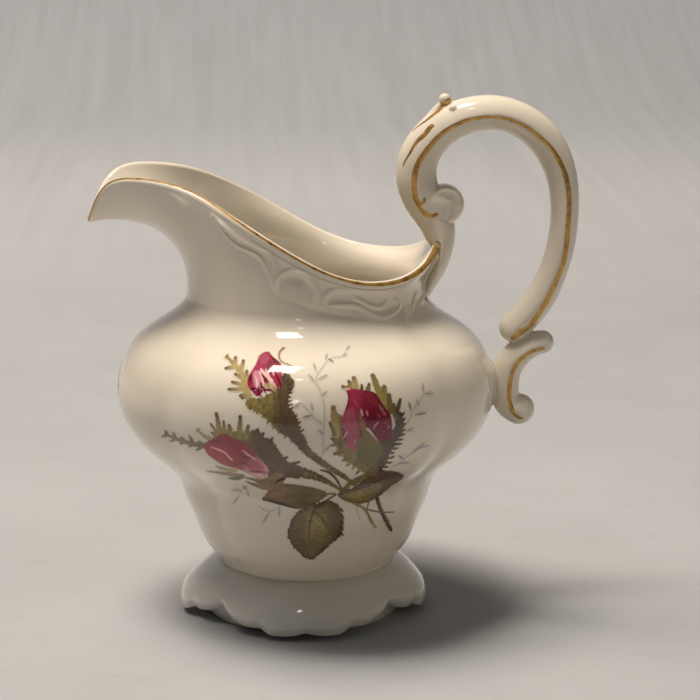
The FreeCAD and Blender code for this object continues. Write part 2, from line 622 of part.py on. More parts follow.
def main():
    doc = FreeCAD.newDocument("cream_jug")
    sheet = make_sheet(doc)
    body = Body(sheet)
    loop = Tube(LOOP_STATIONS)
    scroll = Tube(SCROLL_STATIONS)
    sprig = Tube(SPRIG_STATIONS)
    volute = make_volute(doc)
    bead = make_bead(doc)
    foot_slip = make_foot_slip(doc)
    doc.recompute()

    casting = make_body_solid(body, sheet)
    casting_with_slip = make_body_solid(body, sheet, sheet.slip_layer)
    bowl, neck = make_bowl_and_neck(doc, casting)
    handle_blank = loop.solid().multiFuse([scroll.solid(), sprig.solid(), volute.Shape, bead.Shape])
    handle_solid = max(handle_blank.cut(casting_with_slip).Solids, key=lambda solid: solid.Volume)
    slip = handle_blank.common(casting_with_slip).cut(casting)
    upper_slip = Part.makeCompound([solid for solid in slip.Solids if solid.BoundBox.ZMin > JOINT_SPLIT])
    lower_slip = Part.makeCompound([solid for solid in slip.Solids if solid.BoundBox.ZMax < JOINT_SPLIT])

    subparts = [
        bowl,
        neck,
        place_feature(doc, "foot", make_foot_solid(body, sheet)),
        foot_slip,
        place_feature(doc, "handle", handle_solid),
        place_feature(doc, "upper_handle_slip_joint", upper_slip),
        place_feature(doc, "lower_handle_slip_joint", lower_slip),
        place_feature(doc, "rim_gilding", make_rim_gold(body, sheet).cut(handle_blank)),
    ]
    for name, side in (("front", -1), ("back", 1)):
        loop_gold = loop.ridge_gold(sheet, side, LOOP_GOLD)
        scroll_gold = scroll.ridge_gold(sheet, side, SCROLL_GOLD)
        leaf_gold = Part.makeCompound([loop.ridge_gold(sheet, side, run) for run in LEAF_GOLDS])
        subparts.append(place_feature(doc, f"handle_gilding_{name}", loop_gold))
        subparts.append(place_feature(doc, f"scroll_gilding_{name}", scroll_gold))
        subparts.append(place_feature(doc, f"leaf_gilding_{name}", leaf_gold))
    spray = make_transfer(body, sheet, SPRAY_OUTLINES.values(), SPRAY_PATCH)
    front = separate_patches(spray.Solids)
    half_turn = FreeCAD.Rotation(Vector(0, 0, 1), 180)
    back = front.copy()
    back.Placement = FreeCAD.Placement(Vector(2 * sheet.axis_shift, 0, 0), half_turn)
    under_spout = make_transfer(body, sheet, [SPOUT_SPRIG_OUTLINE], SPOUT_SPRIG_PATCH)
    subparts.append(place_feature(doc, "front_spray_transfer", front))
    subparts.append(place_feature(doc, "back_spray_transfer", Part.makeCompound(back.Solids)))
    subparts.append(place_feature(doc, "spout_sprig_transfer", under_spout))

    doc.recompute()
    for item in doc.Objects:
        if "Invalid" in item.State or "Error" in item.State:
            raise RuntimeError(f"{item.Label} failed: {item.State}")
    for item in subparts:
        if item.Shape.isNull() or not item.Shape.isValid() or not item.Shape.Solids:
            raise RuntimeError(f"{item.Label} has no valid solid")
    os.makedirs("parts", exist_ok=True)
    for item in subparts:
        item.Shape.exportStep(os.path.join("parts", item.Label + ".step"))
        box = item.Shape.BoundBox
        count = len(item.Shape.Solids)
        print(f"{item.Label}: {count} solids, {item.Shape.Volume:.1f} mm3, top {box.ZMax:.1f}")


main()
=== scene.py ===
import math

import bpy
import numpy as np
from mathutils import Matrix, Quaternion, Vector
from mathutils.bvhtree import BVHTree


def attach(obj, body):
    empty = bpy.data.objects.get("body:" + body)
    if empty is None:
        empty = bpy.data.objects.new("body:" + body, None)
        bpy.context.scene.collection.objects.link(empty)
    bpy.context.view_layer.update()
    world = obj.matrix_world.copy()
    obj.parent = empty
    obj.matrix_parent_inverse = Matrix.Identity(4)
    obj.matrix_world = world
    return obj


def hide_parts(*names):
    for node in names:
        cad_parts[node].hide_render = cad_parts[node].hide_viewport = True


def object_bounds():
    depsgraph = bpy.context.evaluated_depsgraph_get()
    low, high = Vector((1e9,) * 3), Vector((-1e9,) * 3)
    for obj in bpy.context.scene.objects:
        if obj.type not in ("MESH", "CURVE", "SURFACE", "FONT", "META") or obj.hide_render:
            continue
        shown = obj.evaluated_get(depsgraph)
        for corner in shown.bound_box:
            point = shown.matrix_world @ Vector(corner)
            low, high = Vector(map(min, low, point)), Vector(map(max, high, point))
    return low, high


# The looks of a porcelain cream jug: ivory glaze, moulded scrolls under the rim, fired gold and
# printed moss roses. The body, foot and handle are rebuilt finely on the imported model's own
# stations. Stations and outlines are in millimetres, and every mesh is in metres.

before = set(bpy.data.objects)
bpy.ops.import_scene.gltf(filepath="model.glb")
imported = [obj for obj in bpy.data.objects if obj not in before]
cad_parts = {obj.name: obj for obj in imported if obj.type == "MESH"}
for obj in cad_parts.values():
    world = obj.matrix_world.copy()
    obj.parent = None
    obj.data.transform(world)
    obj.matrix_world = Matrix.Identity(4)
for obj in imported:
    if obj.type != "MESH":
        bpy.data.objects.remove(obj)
packed_low, packed_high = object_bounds()
MM = 0.001


# ---------------------------------------------------------------- curves and meshes

class Spline:
    """A smooth curve through points at rising parameters; a closed one repeats after its last parameter."""

    def __init__(self, at, points, closed=False, end_slope=None):
        self.at = np.array(at, float)
        points = np.array(points, float)
        self.closed = closed
        if closed:
            points = np.vstack([points, points[:1]])
        self.points = points
        step = np.diff(self.at)[:, None]
        rise = np.diff(points, axis=0) / step
        count = len(points)
        matrix = np.zeros((count, count))
        right = np.zeros_like(points)
        for i in range(1, count - 1):
            matrix[i, i - 1:i + 2] = (step[i - 1, 0], 2 * (step[i - 1, 0] + step[i, 0]), step[i, 0])
            right[i] = 6 * (rise[i] - rise[i - 1])
        if closed:
            matrix[0, 0] = 1
            matrix[0, -1] = -1
            matrix[-1, 0] = 2 * step[0, 0]
            matrix[-1, 1] = step[0, 0]
            matrix[-1, -2] = step[-1, 0]
            matrix[-1, -1] = 2 * step[-1, 0]
            right[-1] = 6 * (rise[0] - rise[-1])
        else:
            matrix[0, 0] = 1
            matrix[-1, -1] = 1
            if end_slope is not None:
                matrix[-1, -2:] = (step[-1, 0], 2 * step[-1, 0])
                right[-1] = 6 * (np.array(end_slope, float) - rise[-1])
        self.bend = np.linalg.solve(matrix, right)

    def __call__(self, where):
        where = np.asarray(where, float)
        if self.closed:
            where = self.at[0] + (where - self.at[0]) % (self.at[-1] - self.at[0])
        span = np.clip(np.searchsorted(self.at, where, side="right") - 1, 0, len(self.at) - 2)
        step = self.at[span + 1] - self.at[span]
        before = (self.at[span + 1] - where) / step
        after = 1 - before
        shape = where.shape + (1,)
        step, before, after = step.reshape(shape), before.reshape(shape), after.reshape(shape)
        straight = before * self.points[span] + after * self.points[span + 1]
        curve = (before**3 - before) * self.bend[span] + (after**3 - after) * self.bend[span + 1]
        return straight + curve * step**2 / 6


def line_spline(points):
    """A smooth open curve through points, with its parameter from 0 to 1 along its length."""
    points = np.array(points, float)
    lengths = np.linalg.norm(np.diff(points, axis=0), axis=1)
    at = np.concatenate([[0], np.cumsum(lengths)])
    return Spline(at / at[-1], points)


def loop_points(points, count=160):
    """Points along a smooth closed curve through an outline."""
    points = np.array(points, float)
    lengths = np.linalg.norm(np.diff(np.vstack([points, points[:1]]), axis=0), axis=1)
    at = np.concatenate([[0], np.cumsum(lengths)])
    return Spline(at, points, closed=True)(np.linspace(0, at[-1], count, endpoint=False))


def unit(vectors):
    return vectors / np.linalg.norm(vectors, axis=-1, keepdims=True)


def new_piece(name, vertices, faces, material):
    """A mesh piece from points in millimetres, riding on the jug's one body."""
    mesh = bpy.data.meshes.new(name)
    mesh.from_pydata((np.asarray(vertices) * MM).tolist(), [], faces)
    mesh.validate()
    return shown_piece(name, mesh, material)


def shown_piece(name, mesh, material):
    mesh.polygons.foreach_set("use_smooth", np.ones(len(mesh.polygons), bool))
    piece = bpy.data.objects.new(name, mesh)
    bpy.context.scene.collection.objects.link(piece)
    mesh.materials.clear()
    mesh.materials.append(material)
    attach(piece, "root")
    return piece


def grid_faces(rows, columns, closed):
    """Quads over a grid of points; a closed grid's last column joins its first."""
    across = columns if closed else columns - 1
    i, j = np.meshgrid(np.arange(rows - 1), np.arange(across), indexing="ij")
    nxt = (j + 1) % columns
    quads = np.stack([i * columns + j, i * columns + nxt, (i + 1) * columns + nxt, (i + 1) * columns + j], -1)
    return quads.reshape(-1, 4)


def capped_faces(rows, columns):
    """Quads over a grid that is closed round each row, with one face over each end."""
    faces = grid_faces(rows, columns, True).tolist()
    faces.append(list(range(columns - 1, -1, -1)))
    faces.append(list(range((rows - 1) * columns, rows * columns)))
    return faces


# ---------------------------------------------------------------- the jug's stations

AXIS_SHIFT = 1.3
BODY_BASE = 13.0
NECK_HEIGHT = 83.0
BELLY_RADIUS = 47.3
CREASE_DEPTH = 2.4
CREASES = (41.0, 139.0, 221.0, 319.0)
CREASE_SPREAD = 13.0
WALL = 2.7
LIP_WALL = 2.1
FLOOR_HEIGHT = 16.0
FOOT_HEIGHT = 12.6
FOOT_REACH = 31.7
REST_OUTER = 24.3
REST_INNER = 21.6
FOOT_BORE_TOP = 15.0

BELLY_OUTLINE = (
    (0.4545, 0.20, 0.000), (0.541, 0.40, 0.064), (0.598, 0.56, 0.150), (0.653, 0.66, 0.243),
    (0.715, 0.78, 0.336), (0.825, 0.90, 0.403), (0.934, 0.98, 0.484), (1.000, 1.00, 0.614),
    (0.968, 0.92, 0.736), (0.850, 0.72, 0.837), (0.710, 0.44, 0.899), (0.638, 0.28, 0.951),
    (0.626, 0.20, 1.000),
)
NECK_STATIONS = (
    (4.0, (33.5, 0.0, 89.5), (35.1, 0.0, 93.7)),
    (3.4, (32.0, 8.0, 88.3), (33.3, 8.5, 92.0)),
    (2.6, (28.4, 15.2, 86.3), (29.3, 16.0, 89.3)),
    (2.2, (23.0, 21.3, 85.5), (23.8, 22.3, 87.7)),
    (2.2, (16.2, 26.1, 85.8), (17.0, 27.0, 87.7)),
    (3.2, (9.0, 28.7, 87.0), (9.5, 29.9, 89.5)),
    (4.5, (1.0, 29.4, 90.0), (1.0, 31.0, 93.1)),
    (7.0, (-9.0, 27.5, 94.8), (-9.8, 29.8, 99.3)),
    (9.5, (-19.3, 23.6, 99.3), (-19.5, 24.8, 105.4)),
    (12.0, (-29.0, 18.2, 102.5), (-28.7, 19.0, 109.9)),
    (14.5, (-38.0, 12.2, 103.6), (-39.5, 14.5, 111.4)),
    (16.5, (-43.8, 6.6, 101.8), (-48.5, 9.2, 107.8)),
    (17.5, (-46.2, 0.0, 100.1), (-52.2, 0.0, 98.6)),
)
LOBES = (0.0, 90.0, 180.0, 270.0)
LOOP_STATIONS = (
    (53.3, 71.4, 3.8, 3.9), (58.9, 77.8, 3.9, 4.0), (62.3, 84.2, 3.6, 4.1), (64.4, 91.0, 3.55, 4.2),
    (65.4, 98.0, 3.5, 4.3), (65.4, 104.0, 3.65, 4.4), (64.5, 109.8, 3.85, 4.5), (61.8, 116.4, 4.2, 4.6),
    (57.2, 121.6, 4.3, 4.7), (51.0, 124.8, 4.25, 4.8), (44.6, 125.3, 4.4, 4.9), (38.2, 123.6, 4.6, 5.0),
    (32.9, 120.0, 4.8, 5.1), (29.5, 115.0, 5.0, 5.2), (28.6, 109.6, 5.1, 5.2), (30.2, 104.2, 4.9, 5.2),
    (33.0, 99.6, 4.6, 5.3), (34.5, 95.4, 4.0, 5.8), (34.8, 91.0, 2.9, 6.2), (33.2, 86.5, 2.7, 6.2),
    (31.2, 82.0, 2.0, 5.4), (29.4, 77.6, 1.2, 4.2),
)
SCROLL_STATIONS = (
    (60.4, 67.6, 3.0, 3.4), (57.4, 66.8, 3.3, 3.9), (54.0, 64.3, 3.6, 4.2), (51.7, 60.6, 3.7, 4.3),
    (51.1, 56.2, 3.7, 4.3), (52.0, 52.2, 3.6, 4.2), (54.8, 50.4, 4.0, 4.0),
)


def bearing_gap(bearing, other):
    return np.abs((bearing - other + 180.0) % 360.0 - 180.0)


def soft_peak(gap, spread, roundness=3.5):
    return np.exp((roundness - np.hypot(gap, roundness)) / spread)


def creases_at(bearing):
    return sum(soft_peak(bearing_gap(bearing, crease), CREASE_SPREAD) for crease in CREASES)


def mirrored_ring(points):
    """A closed curve by bearing through stations on one side and their mirror images on the other."""
    far_side = np.array(points, float)
    near_side = far_side[-2:0:-1] * (1, -1, 1)
    bearings = np.linspace(0.0, 360.0, len(far_side) * 2 - 1)
    return Spline(bearings, np.vstack([far_side, near_side]), closed=True)


class Body:
    """The bowl's outer shape: level 0 to 1 is the belly, 1 to 2 the neck up to the rim."""

    def __init__(self):
        rise = NECK_HEIGHT - BODY_BASE
        outline = [(r * BELLY_RADIUS, c * CREASE_DEPTH, BODY_BASE + z * rise) for r, c, z in BELLY_OUTLINE]
        self.outline = Spline([row[2] for row in BELLY_OUTLINE], outline, end_slope=(0.0, -2.0, rise))
        self.rises = mirrored_ring([(row[0], 0.0, 0.0) for row in NECK_STATIONS])
        self.pulls = mirrored_ring([row[1] for row in NECK_STATIONS])
        self.rim = mirrored_ring([row[2] for row in NECK_STATIONS])

    def belly(self, bearing, level):
        at = self.outline(level)
        radius = at[..., 0] - at[..., 1] * creases_at(bearing)
        turn = np.radians(bearing)
        return np.stack([AXIS_SHIFT + radius * np.cos(turn), radius * np.sin(turn), at[..., 2]], -1)

    def outer(self, bearing, level):
        bearing, level = np.broadcast_arrays(np.asarray(bearing, float), np.asarray(level, float))
        up = np.clip(level - 1.0, 0.0, 1.0)[..., None]
        down = 1.0 - up
        neck = self.belly(bearing, np.minimum(level, 1.0))
        straight = neck + self.rises(bearing)[..., :1] * (0, 0, 1)
        pull = self.pulls(bearing)
        rim = self.rim(bearing)
        rim = rim - unit(rim - pull) * (LIP_WALL / 2)
        curved = neck * down**3 + straight * 3 * down**2 * up + pull * 3 * down * up**2 + rim * up**3
        return np.where(level[..., None] <= 1.0, neck, curved)

    def slope(self, bearing, level):
        """The upward direction and the outward normal of the outer wall."""
        small = 0.004
        bearing, level = np.broadcast_arrays(np.asarray(bearing, float), np.asarray(level, float))
        across = self.outer(bearing + 0.2, level) - self.outer(bearing - 0.2, level)
        upward = self.outer(bearing, np.minimum(level + small, 2.0))
        upward = upward - self.outer(bearing, np.maximum(level - small, 0.0))
        normal = unit(np.cross(across, upward))
        return unit(np.cross(normal, across)), normal

    def wall(self, bearing, level, offset=0.0):
        return self.outer(bearing, level) + self.slope(bearing, level)[1] * offset

    def inner(self, bearing, level):
        thickness = WALL - (WALL - LIP_WALL) * np.maximum(np.asarray(level) - 1.0, 0.0)
        return self.outer(bearing, level) - self.slope(bearing, level)[1] * np.asarray(thickness)[..., None]

    def lip(self, bearing, turn, offset=0.0):
        """The half-round lip: turn 0 is its outer side, 180 its inner side."""
        upward, normal = self.slope(bearing, 2.0)
        half = LIP_WALL / 2
        centre = self.outer(bearing, 2.0) - normal * half
        angle = np.radians(np.asarray(turn, float))[..., None]
        reach = np.asarray(half + offset)
        reach = reach[..., None] if reach.ndim else reach
        return centre + (normal * np.cos(angle) + upward * np.sin(angle)) * reach


body = Body()


class Tube:
    """A bar of lens-shaped section along stations in the plane Y = 0, with a ridge on each side."""

    def __init__(self, stations):
        self.last = len(stations) - 1.0
        at = np.arange(len(stations))
        self.spine = Spline(at, [(x, 0.0, z) for x, z, _, _ in stations])
        self.girth = Spline(at, [(depth, width) for _, _, depth, width in stations])

    def point(self, turn, station, offset=0.0, share=1.0, reach=0.0):
        """turn 0 is the outer side of the bar, 90 its +Y ridge; share and reach round off an end."""
        turn, station = np.broadcast_arrays(np.asarray(turn, float), np.asarray(station, float))
        centre = self.spine(station)
        ahead = self.spine(np.minimum(station + 0.01, self.last))
        direction = unit(ahead - self.spine(np.maximum(station - 0.01, 0.0)))
        outward = np.cross(np.array([0.0, 1.0, 0.0]), direction)
        girth = self.girth(station)
        angle = np.radians(turn)
        flat = np.cos(angle) * np.abs(np.cos(angle)) ** 0.55
        depth = (girth[..., 0] * share + offset) * flat
        width = (girth[..., 1] * share + offset) * np.sin(angle)
        side = np.array([0.0, 1.0, 0.0])
        middle = centre + direction * (reach * girth[..., :1])
        return middle + outward * depth[..., None] + side * width[..., None]

    def bar(self, steps=12, columns=72):
        """Points and faces of the whole bar, with rounded ends."""
        turns = np.linspace(0, 360, columns, endpoint=False)
        domes = np.radians(np.linspace(88, 8, 11))
        rows = [self.point(turns, np.zeros(columns), 0, np.cos(a), -np.sin(a)) for a in domes]
        for station in np.linspace(0, self.last, int(self.last * steps) + 1):
            rows.append(self.point(turns, np.full(columns, station)))
        rows += [self.point(turns, np.full(columns, self.last), 0, np.cos(a), np.sin(a)) for a in domes[::-1]]
        grid = np.array(rows)
        return grid.reshape(-1, 3), capped_faces(len(rows), columns)


loop = Tube(LOOP_STATIONS)
scroll = Tube(SCROLL_STATIONS)


# ---------------------------------------------------------------- materials

IVORY = (0.78, 0.715, 0.60)


class Nodes:
    """Short calls for building a node material."""

    def __init__(self, name):
        self.material = bpy.data.materials.new(name)
        self.material.use_nodes = True
        self.tree = self.material.node_tree
        self.shader = self.tree.nodes["Principled BSDF"]

    def add(self, kind, **values):
        node = self.tree.nodes.new(kind)
        for key, value in values.items():
            if key in node.inputs:
                node.inputs[key].default_value = value
            else:
                setattr(node, key, value)
        return node

    def link(self, source, target):
        self.tree.links.new(source, target)

    def set(self, **values):
        for key, value in values.items():
            self.shader.inputs[key.replace("_", " ")].default_value = value

    def place(self):
        return self.add("ShaderNodeTexCoord").outputs["Object"]

    def noise(self, scale, detail=3.0, roughness=0.5):
        node = self.add("ShaderNodeTexNoise", Scale=scale, Detail=detail, Roughness=roughness)
        self.link(self.place(), node.inputs["Vector"])
        return node.outputs["Fac"]

    def ramp(self, factor, stops):
        node = self.add("ShaderNodeValToRGB")
        self.link(factor, node.inputs["Fac"])
        ramp = node.color_ramp
        while len(ramp.elements) < len(stops):
            ramp.elements.new(0.5)
        for element, (position, colour) in zip(ramp.elements, stops):
            element.position = position
            element.color = (*colour, 1.0)
        return node.outputs["Color"]

    def mix(self, factor, first, second):
        node = self.add("ShaderNodeMix", data_type="RGBA")
        colours = [socket for socket in node.inputs if socket.type == "RGBA"]
        for socket, source in ((node.inputs[0], factor), (colours[0], first), (colours[1], second)):
            if isinstance(source, bpy.types.NodeSocket):
                self.link(source, socket)
            elif isinstance(source, tuple):
                socket.default_value = (*source, 1.0)
            else:
                socket.default_value = source
        return next(socket for socket in node.outputs if socket.type == "RGBA")

    def map(self, factor, low, high, to_low, to_high):
        node = self.add("ShaderNodeMapRange")
        node.inputs["From Min"].default_value = low
        node.inputs["From Max"].default_value = high
        node.inputs["To Min"].default_value = to_low
        node.inputs["To Max"].default_value = to_high
        self.link(factor, node.inputs["Value"])
        return node.outputs["Result"]

    def bump(self, height, distance, strength=1.0):
        node = self.add("ShaderNodeBump", Strength=strength, Distance=distance)
        self.link(height, node.inputs["Height"])
        self.link(node.outputs["Normal"], self.shader.inputs["Normal"])


def glaze(nodes, tint=(1.0, 1.0, 1.0)):
    """Ivory under a clear pooled glaze: the colour socket of the bare porcelain."""
    pale = tuple(channel * factor for channel, factor in zip(IVORY, tint))
    deep = (pale[0] * 0.95, pale[1] * 0.93, pale[2] * 0.90)
    colour = nodes.mix(nodes.map(nodes.noise(22.0, 2.0), 0.35, 0.7, 0.0, 1.0), pale, deep)
    nodes.set(Roughness=0.2, Specular_IOR_Level=0.15, Coat_Weight=1.0, Coat_Roughness=0.03, Coat_IOR=1.55)
    nodes.link(nodes.map(nodes.noise(60.0, 3.0), 0.3, 0.7, 0.14, 0.24), nodes.shader.inputs["Roughness"])
    nodes.bump(nodes.noise(140.0, 1.0), 0.00002, 0.5)
    return colour


def porcelain_material(name, tint=(1.0, 1.0, 1.0)):
    nodes = Nodes(name)
    nodes.link(glaze(nodes, tint), nodes.shader.inputs["Base Color"])
    return nodes.material


def print_material(name):
    """Enamel print under the glaze: painted colour over the same ivory."""
    nodes = Nodes(name)
    bare = glaze(nodes)
    paint = nodes.add("ShaderNodeAttribute", attribute_name="paint")
    ground = nodes.map(nodes.noise(1500.0, 2.0, 0.7), 0.3, 0.7, 0.86, 1.12)
    grain = nodes.add("ShaderNodeVectorMath", operation="SCALE")
    nodes.link(paint.outputs["Color"], grain.inputs[0])
    nodes.link(ground, grain.inputs["Scale"])
    colour = nodes.mix(paint.outputs["Alpha"], bare, grain.outputs["Vector"])
    nodes.link(colour, nodes.shader.inputs["Base Color"])
    return nodes.material


def gold_material(name):
    """Fired gold, brownish and burnished, with faint worn specks."""
    nodes = Nodes(name)
    nodes.set(Metallic=0.62, Roughness=0.35)
    colour = nodes.ramp(nodes.noise(420.0, 4.0, 0.6), [(0.3, (0.36, 0.19, 0.05)), (0.55, (0.62, 0.36, 0.10)),
                                                        (0.8, (0.80, 0.54, 0.22))])
    wear = nodes.map(nodes.noise(1300.0, 3.0, 0.7), 0.70, 0.76, 0.0, 0.8)
    nodes.link(nodes.mix(wear, colour, (0.62, 0.52, 0.36)), nodes.shader.inputs["Base Color"])
    nodes.link(nodes.map(nodes.noise(420.0, 3.0), 0.3, 0.7, 0.24, 0.44), nodes.shader.inputs["Roughness"])
    nodes.bump(nodes.noise(1200.0, 2.0), 0.00002, 0.5)
    return nodes.material


def bisque_material(name):
    """Unglazed porcelain on the resting ring."""
    nodes = Nodes(name)
    nodes.set(Roughness=0.75)
    colour = nodes.mix(nodes.noise(400.0, 4.0), (0.70, 0.66, 0.58), (0.60, 0.55, 0.47))
    nodes.link(colour, nodes.shader.inputs["Base Color"])
    nodes.bump(nodes.noise(2500.0, 2.0), 0.00003, 0.8)
    return nodes.material


def paper_material(name):
    """Pale grey paper: softly mottled near the jug, with long faint fibres and a painted paler light further
    back.
    """
    nodes = Nodes(name)
    nodes.set(Roughness=0.8)
    mottle_share = nodes.map(nodes.noise(14.0, 5.0, 0.62), 0.35, 0.68, 0.0, 1.0)
    mottled = nodes.mix(mottle_share, (0.385, 0.396, 0.407), (0.350, 0.361, 0.370))
    speck_share = nodes.map(nodes.noise(120.0, 4.0, 0.7), 0.60, 0.75, 0.0, 0.45)
    speckled = nodes.mix(speck_share, mottled, (0.28, 0.29, 0.30))
    stretch = nodes.add("ShaderNodeVectorMath", operation="MULTIPLY")
    stretch.inputs[1].default_value = (110.0, 3.5, 22.0)
    nodes.link(nodes.place(), stretch.inputs[0])
    fibre = nodes.add("ShaderNodeTexNoise", Scale=1.0, Detail=5.0, Roughness=0.62)
    nodes.link(stretch.outputs["Vector"], fibre.inputs["Vector"])
    fibre_share = nodes.map(fibre.outputs["Fac"], 0.35, 0.68, 0.0, 1.0)
    # Painted light: the paper is painted paler behind the jug and a cooler grey far back, standing in for how
    # the lamps light the backdrop.
    behind = nodes.mix(fibre_share, (0.480, 0.488, 0.500), (0.440, 0.448, 0.460))
    far = nodes.mix(fibre_share, (0.415, 0.455, 0.492), (0.365, 0.400, 0.432))
    place = nodes.add("ShaderNodeSeparateXYZ")
    nodes.link(nodes.place(), place.inputs["Vector"])
    # These two mixes lay the painted light by distance behind the jug.
    near = nodes.mix(nodes.map(place.outputs["Y"], 0.34, 0.66, 0.0, 1.0), speckled, behind)
    colour = nodes.mix(nodes.map(place.outputs["Y"], 0.50, 1.50, 0.0, 1.0), near, far)
    nodes.link(colour, nodes.shader.inputs["Base Color"])
    nodes.bump(nodes.noise(260.0, 4.0), 0.0003, 0.4)
    return nodes.material


porcelain = porcelain_material("ivory_glaze")
# The foot's copy of the glaze is tinted bluer: a painted cool reflection of the room, not a colour of the
# porcelain.
foot_porcelain_painted_reflection = porcelain_material("foot_glaze_painted_reflection", (0.92, 0.98, 1.08))
gold = gold_material("fired_gold")
printed = print_material("printed_enamel")
bisque = bisque_material("bare_bisque")


# ---------------------------------------------------------------- the moulded scrolls under the rim

VIEW_TURN = math.radians(2.2)
VIEW_RISE = math.radians(12.7)
VIEW_DISTANCE = 650.0
VIEW_TARGET = np.array([12.5, 0.0, 65.9])
VIEW_BACK = np.array([
    -math.sin(VIEW_TURN) * math.cos(VIEW_RISE),
    -math.cos(VIEW_TURN) * math.cos(VIEW_RISE),
    math.sin(VIEW_RISE),
])
VIEW_RIGHT = np.array([math.cos(VIEW_TURN), -math.sin(VIEW_TURN), 0.0])
VIEW_UP = np.cross(VIEW_BACK, VIEW_RIGHT)
VIEW_EYE = VIEW_TARGET + VIEW_BACK * VIEW_DISTANCE


def front_view(points):
    """Where points fall on the drawing plane through the target, which faces a viewer in front of the jug."""
    away = points - VIEW_EYE
    depth = -(away @ VIEW_BACK)
    return np.stack([away @ VIEW_RIGHT, away @ VIEW_UP], -1) * (VIEW_DISTANCE / depth)[..., None]


def distance_to_line(places, line):
    """The distance of each place from a line of points, and the share of the line that is nearest."""
    nearest = np.full(len(places), 1e9)
    share = np.zeros(len(places))
    for i in range(len(line) - 1):
        start, along = line[i], line[i + 1] - line[i]
        t = np.clip(((places - start) @ along) / max(along @ along, 1e-12), 0, 1)
        gap = np.linalg.norm(places - start - t[:, None] * along, axis=1)
        closer = gap < nearest
        nearest[closer] = gap[closer]
        share[closer] = (i + t[closer]) / (len(line) - 1)
    return nearest, share


def smooth_step(low, high, value):
    t = np.clip((value - low) / (high - low), 0, 1)
    return t * t * (3 - 2 * t)


def plain_wall_tree():
    """The body's plain outer wall, for finding where a drawn point falls on it."""
    bearing = np.arange(0, 360, 1.0)
    rows = np.array([body.wall(bearing, np.full(len(bearing), level)) for level in np.linspace(0, 2, 420)])
    faces = grid_faces(len(rows), len(bearing), True).tolist()
    return BVHTree.FromPolygons(rows.reshape(-1, 3).tolist(), faces)


wall_tree = plain_wall_tree()


def trace(tree, drawn):
    """Points on a surface behind points of the front drawing, and the surface's outward normals there."""
    found = []
    for across, up in drawn:
        ray = Vector(VIEW_TARGET + VIEW_RIGHT * across + VIEW_UP * up - VIEW_EYE).normalized()
        hit, normal = tree.ray_cast(Vector(VIEW_EYE), ray)[:2]
        if hit is not None:
            found.append((list(hit), list(normal if normal.dot(ray) < 0 else -normal)))
    found = np.array(found)
    return found[:, 0], found[:, 1]


# Raised lines on the neck as (height, half width, points right of and above the view's target).
RELIEF_LINES = (
    (0.75, 1.15, ((-34.3, 34.4), (-33.9, 33.9))),
    (0.50, 0.62, ((-33.5, 33.4), (-31.5, 31.0), (-29.2, 29.0), (-26.0, 27.0), (-23.0, 25.5), (-20.4, 24.2),
                  (-19.0, 22.2), (-19.2, 19.8))),
    (0.42, 0.55, ((-32.5, 30.7), (-30.5, 28.0), (-27.8, 26.0), (-25.0, 25.0), (-22.4, 23.2), (-21.4, 21.0),
                  (-20.6, 18.4))),
    (0.60, 0.70, ((-17.8, 15.2), (-17.6, 17.6), (-16.2, 19.2), (-13.8, 19.6), (-11.3, 18.6), (-9.6, 16.8),
                  (-8.6, 14.4), (-9.2, 12.0))),
    (0.45, 1.70, ((-13.9, 15.6), (-13.1, 15.2))),
    (0.55, 0.62, ((-6.6, 11.6), (-6.1, 13.5), (-4.2, 14.9), (-0.8, 14.9))),
    (0.55, 0.62, ((-5.2, 11.3), (-1.2, 11.4), (2.0, 10.8), (4.2, 9.4), (6.5, 8.2), (9.0, 8.5), (10.8, 9.8),
                  (11.7, 11.6), (10.7, 12.6))),
    (0.50, 0.55, ((1.0, 13.1), (3.2, 11.9), (5.8, 10.8), (7.6, 11.1), (8.3, 12.1))),
    (0.35, 0.50, ((12.9, 9.8), (13.4, 7.8), (14.0, 5.8))),
    (0.40, 0.55, ((15.0, 10.2), (15.7, 12.8), (16.3, 14.4))),
    (0.45, 0.60, ((17.2, 11.6), (18.7, 14.8), (19.9, 17.6), (20.5, 19.6))),
    (0.40, 0.75, ((-46.6, 40.3), (-43.6, 38.2), (-40.4, 35.4))),
    (0.30, 0.55, ((-44.6, 40.6), (-42.2, 38.6), (-40.4, 35.4))),
)
# The lower edge of the slightly raised band that carries them.
BAND_EDGE = (
    (-35.5, 34.8), (-32.0, 29.0), (-27.0, 24.8), (-21.2, 19.8), (-19.5, 14.5), (-15.0, 12.0), (-6.8, 9.5),
    (2.2, 7.6), (13.0, 6.2),
)
BAND_HEIGHT = 0.34


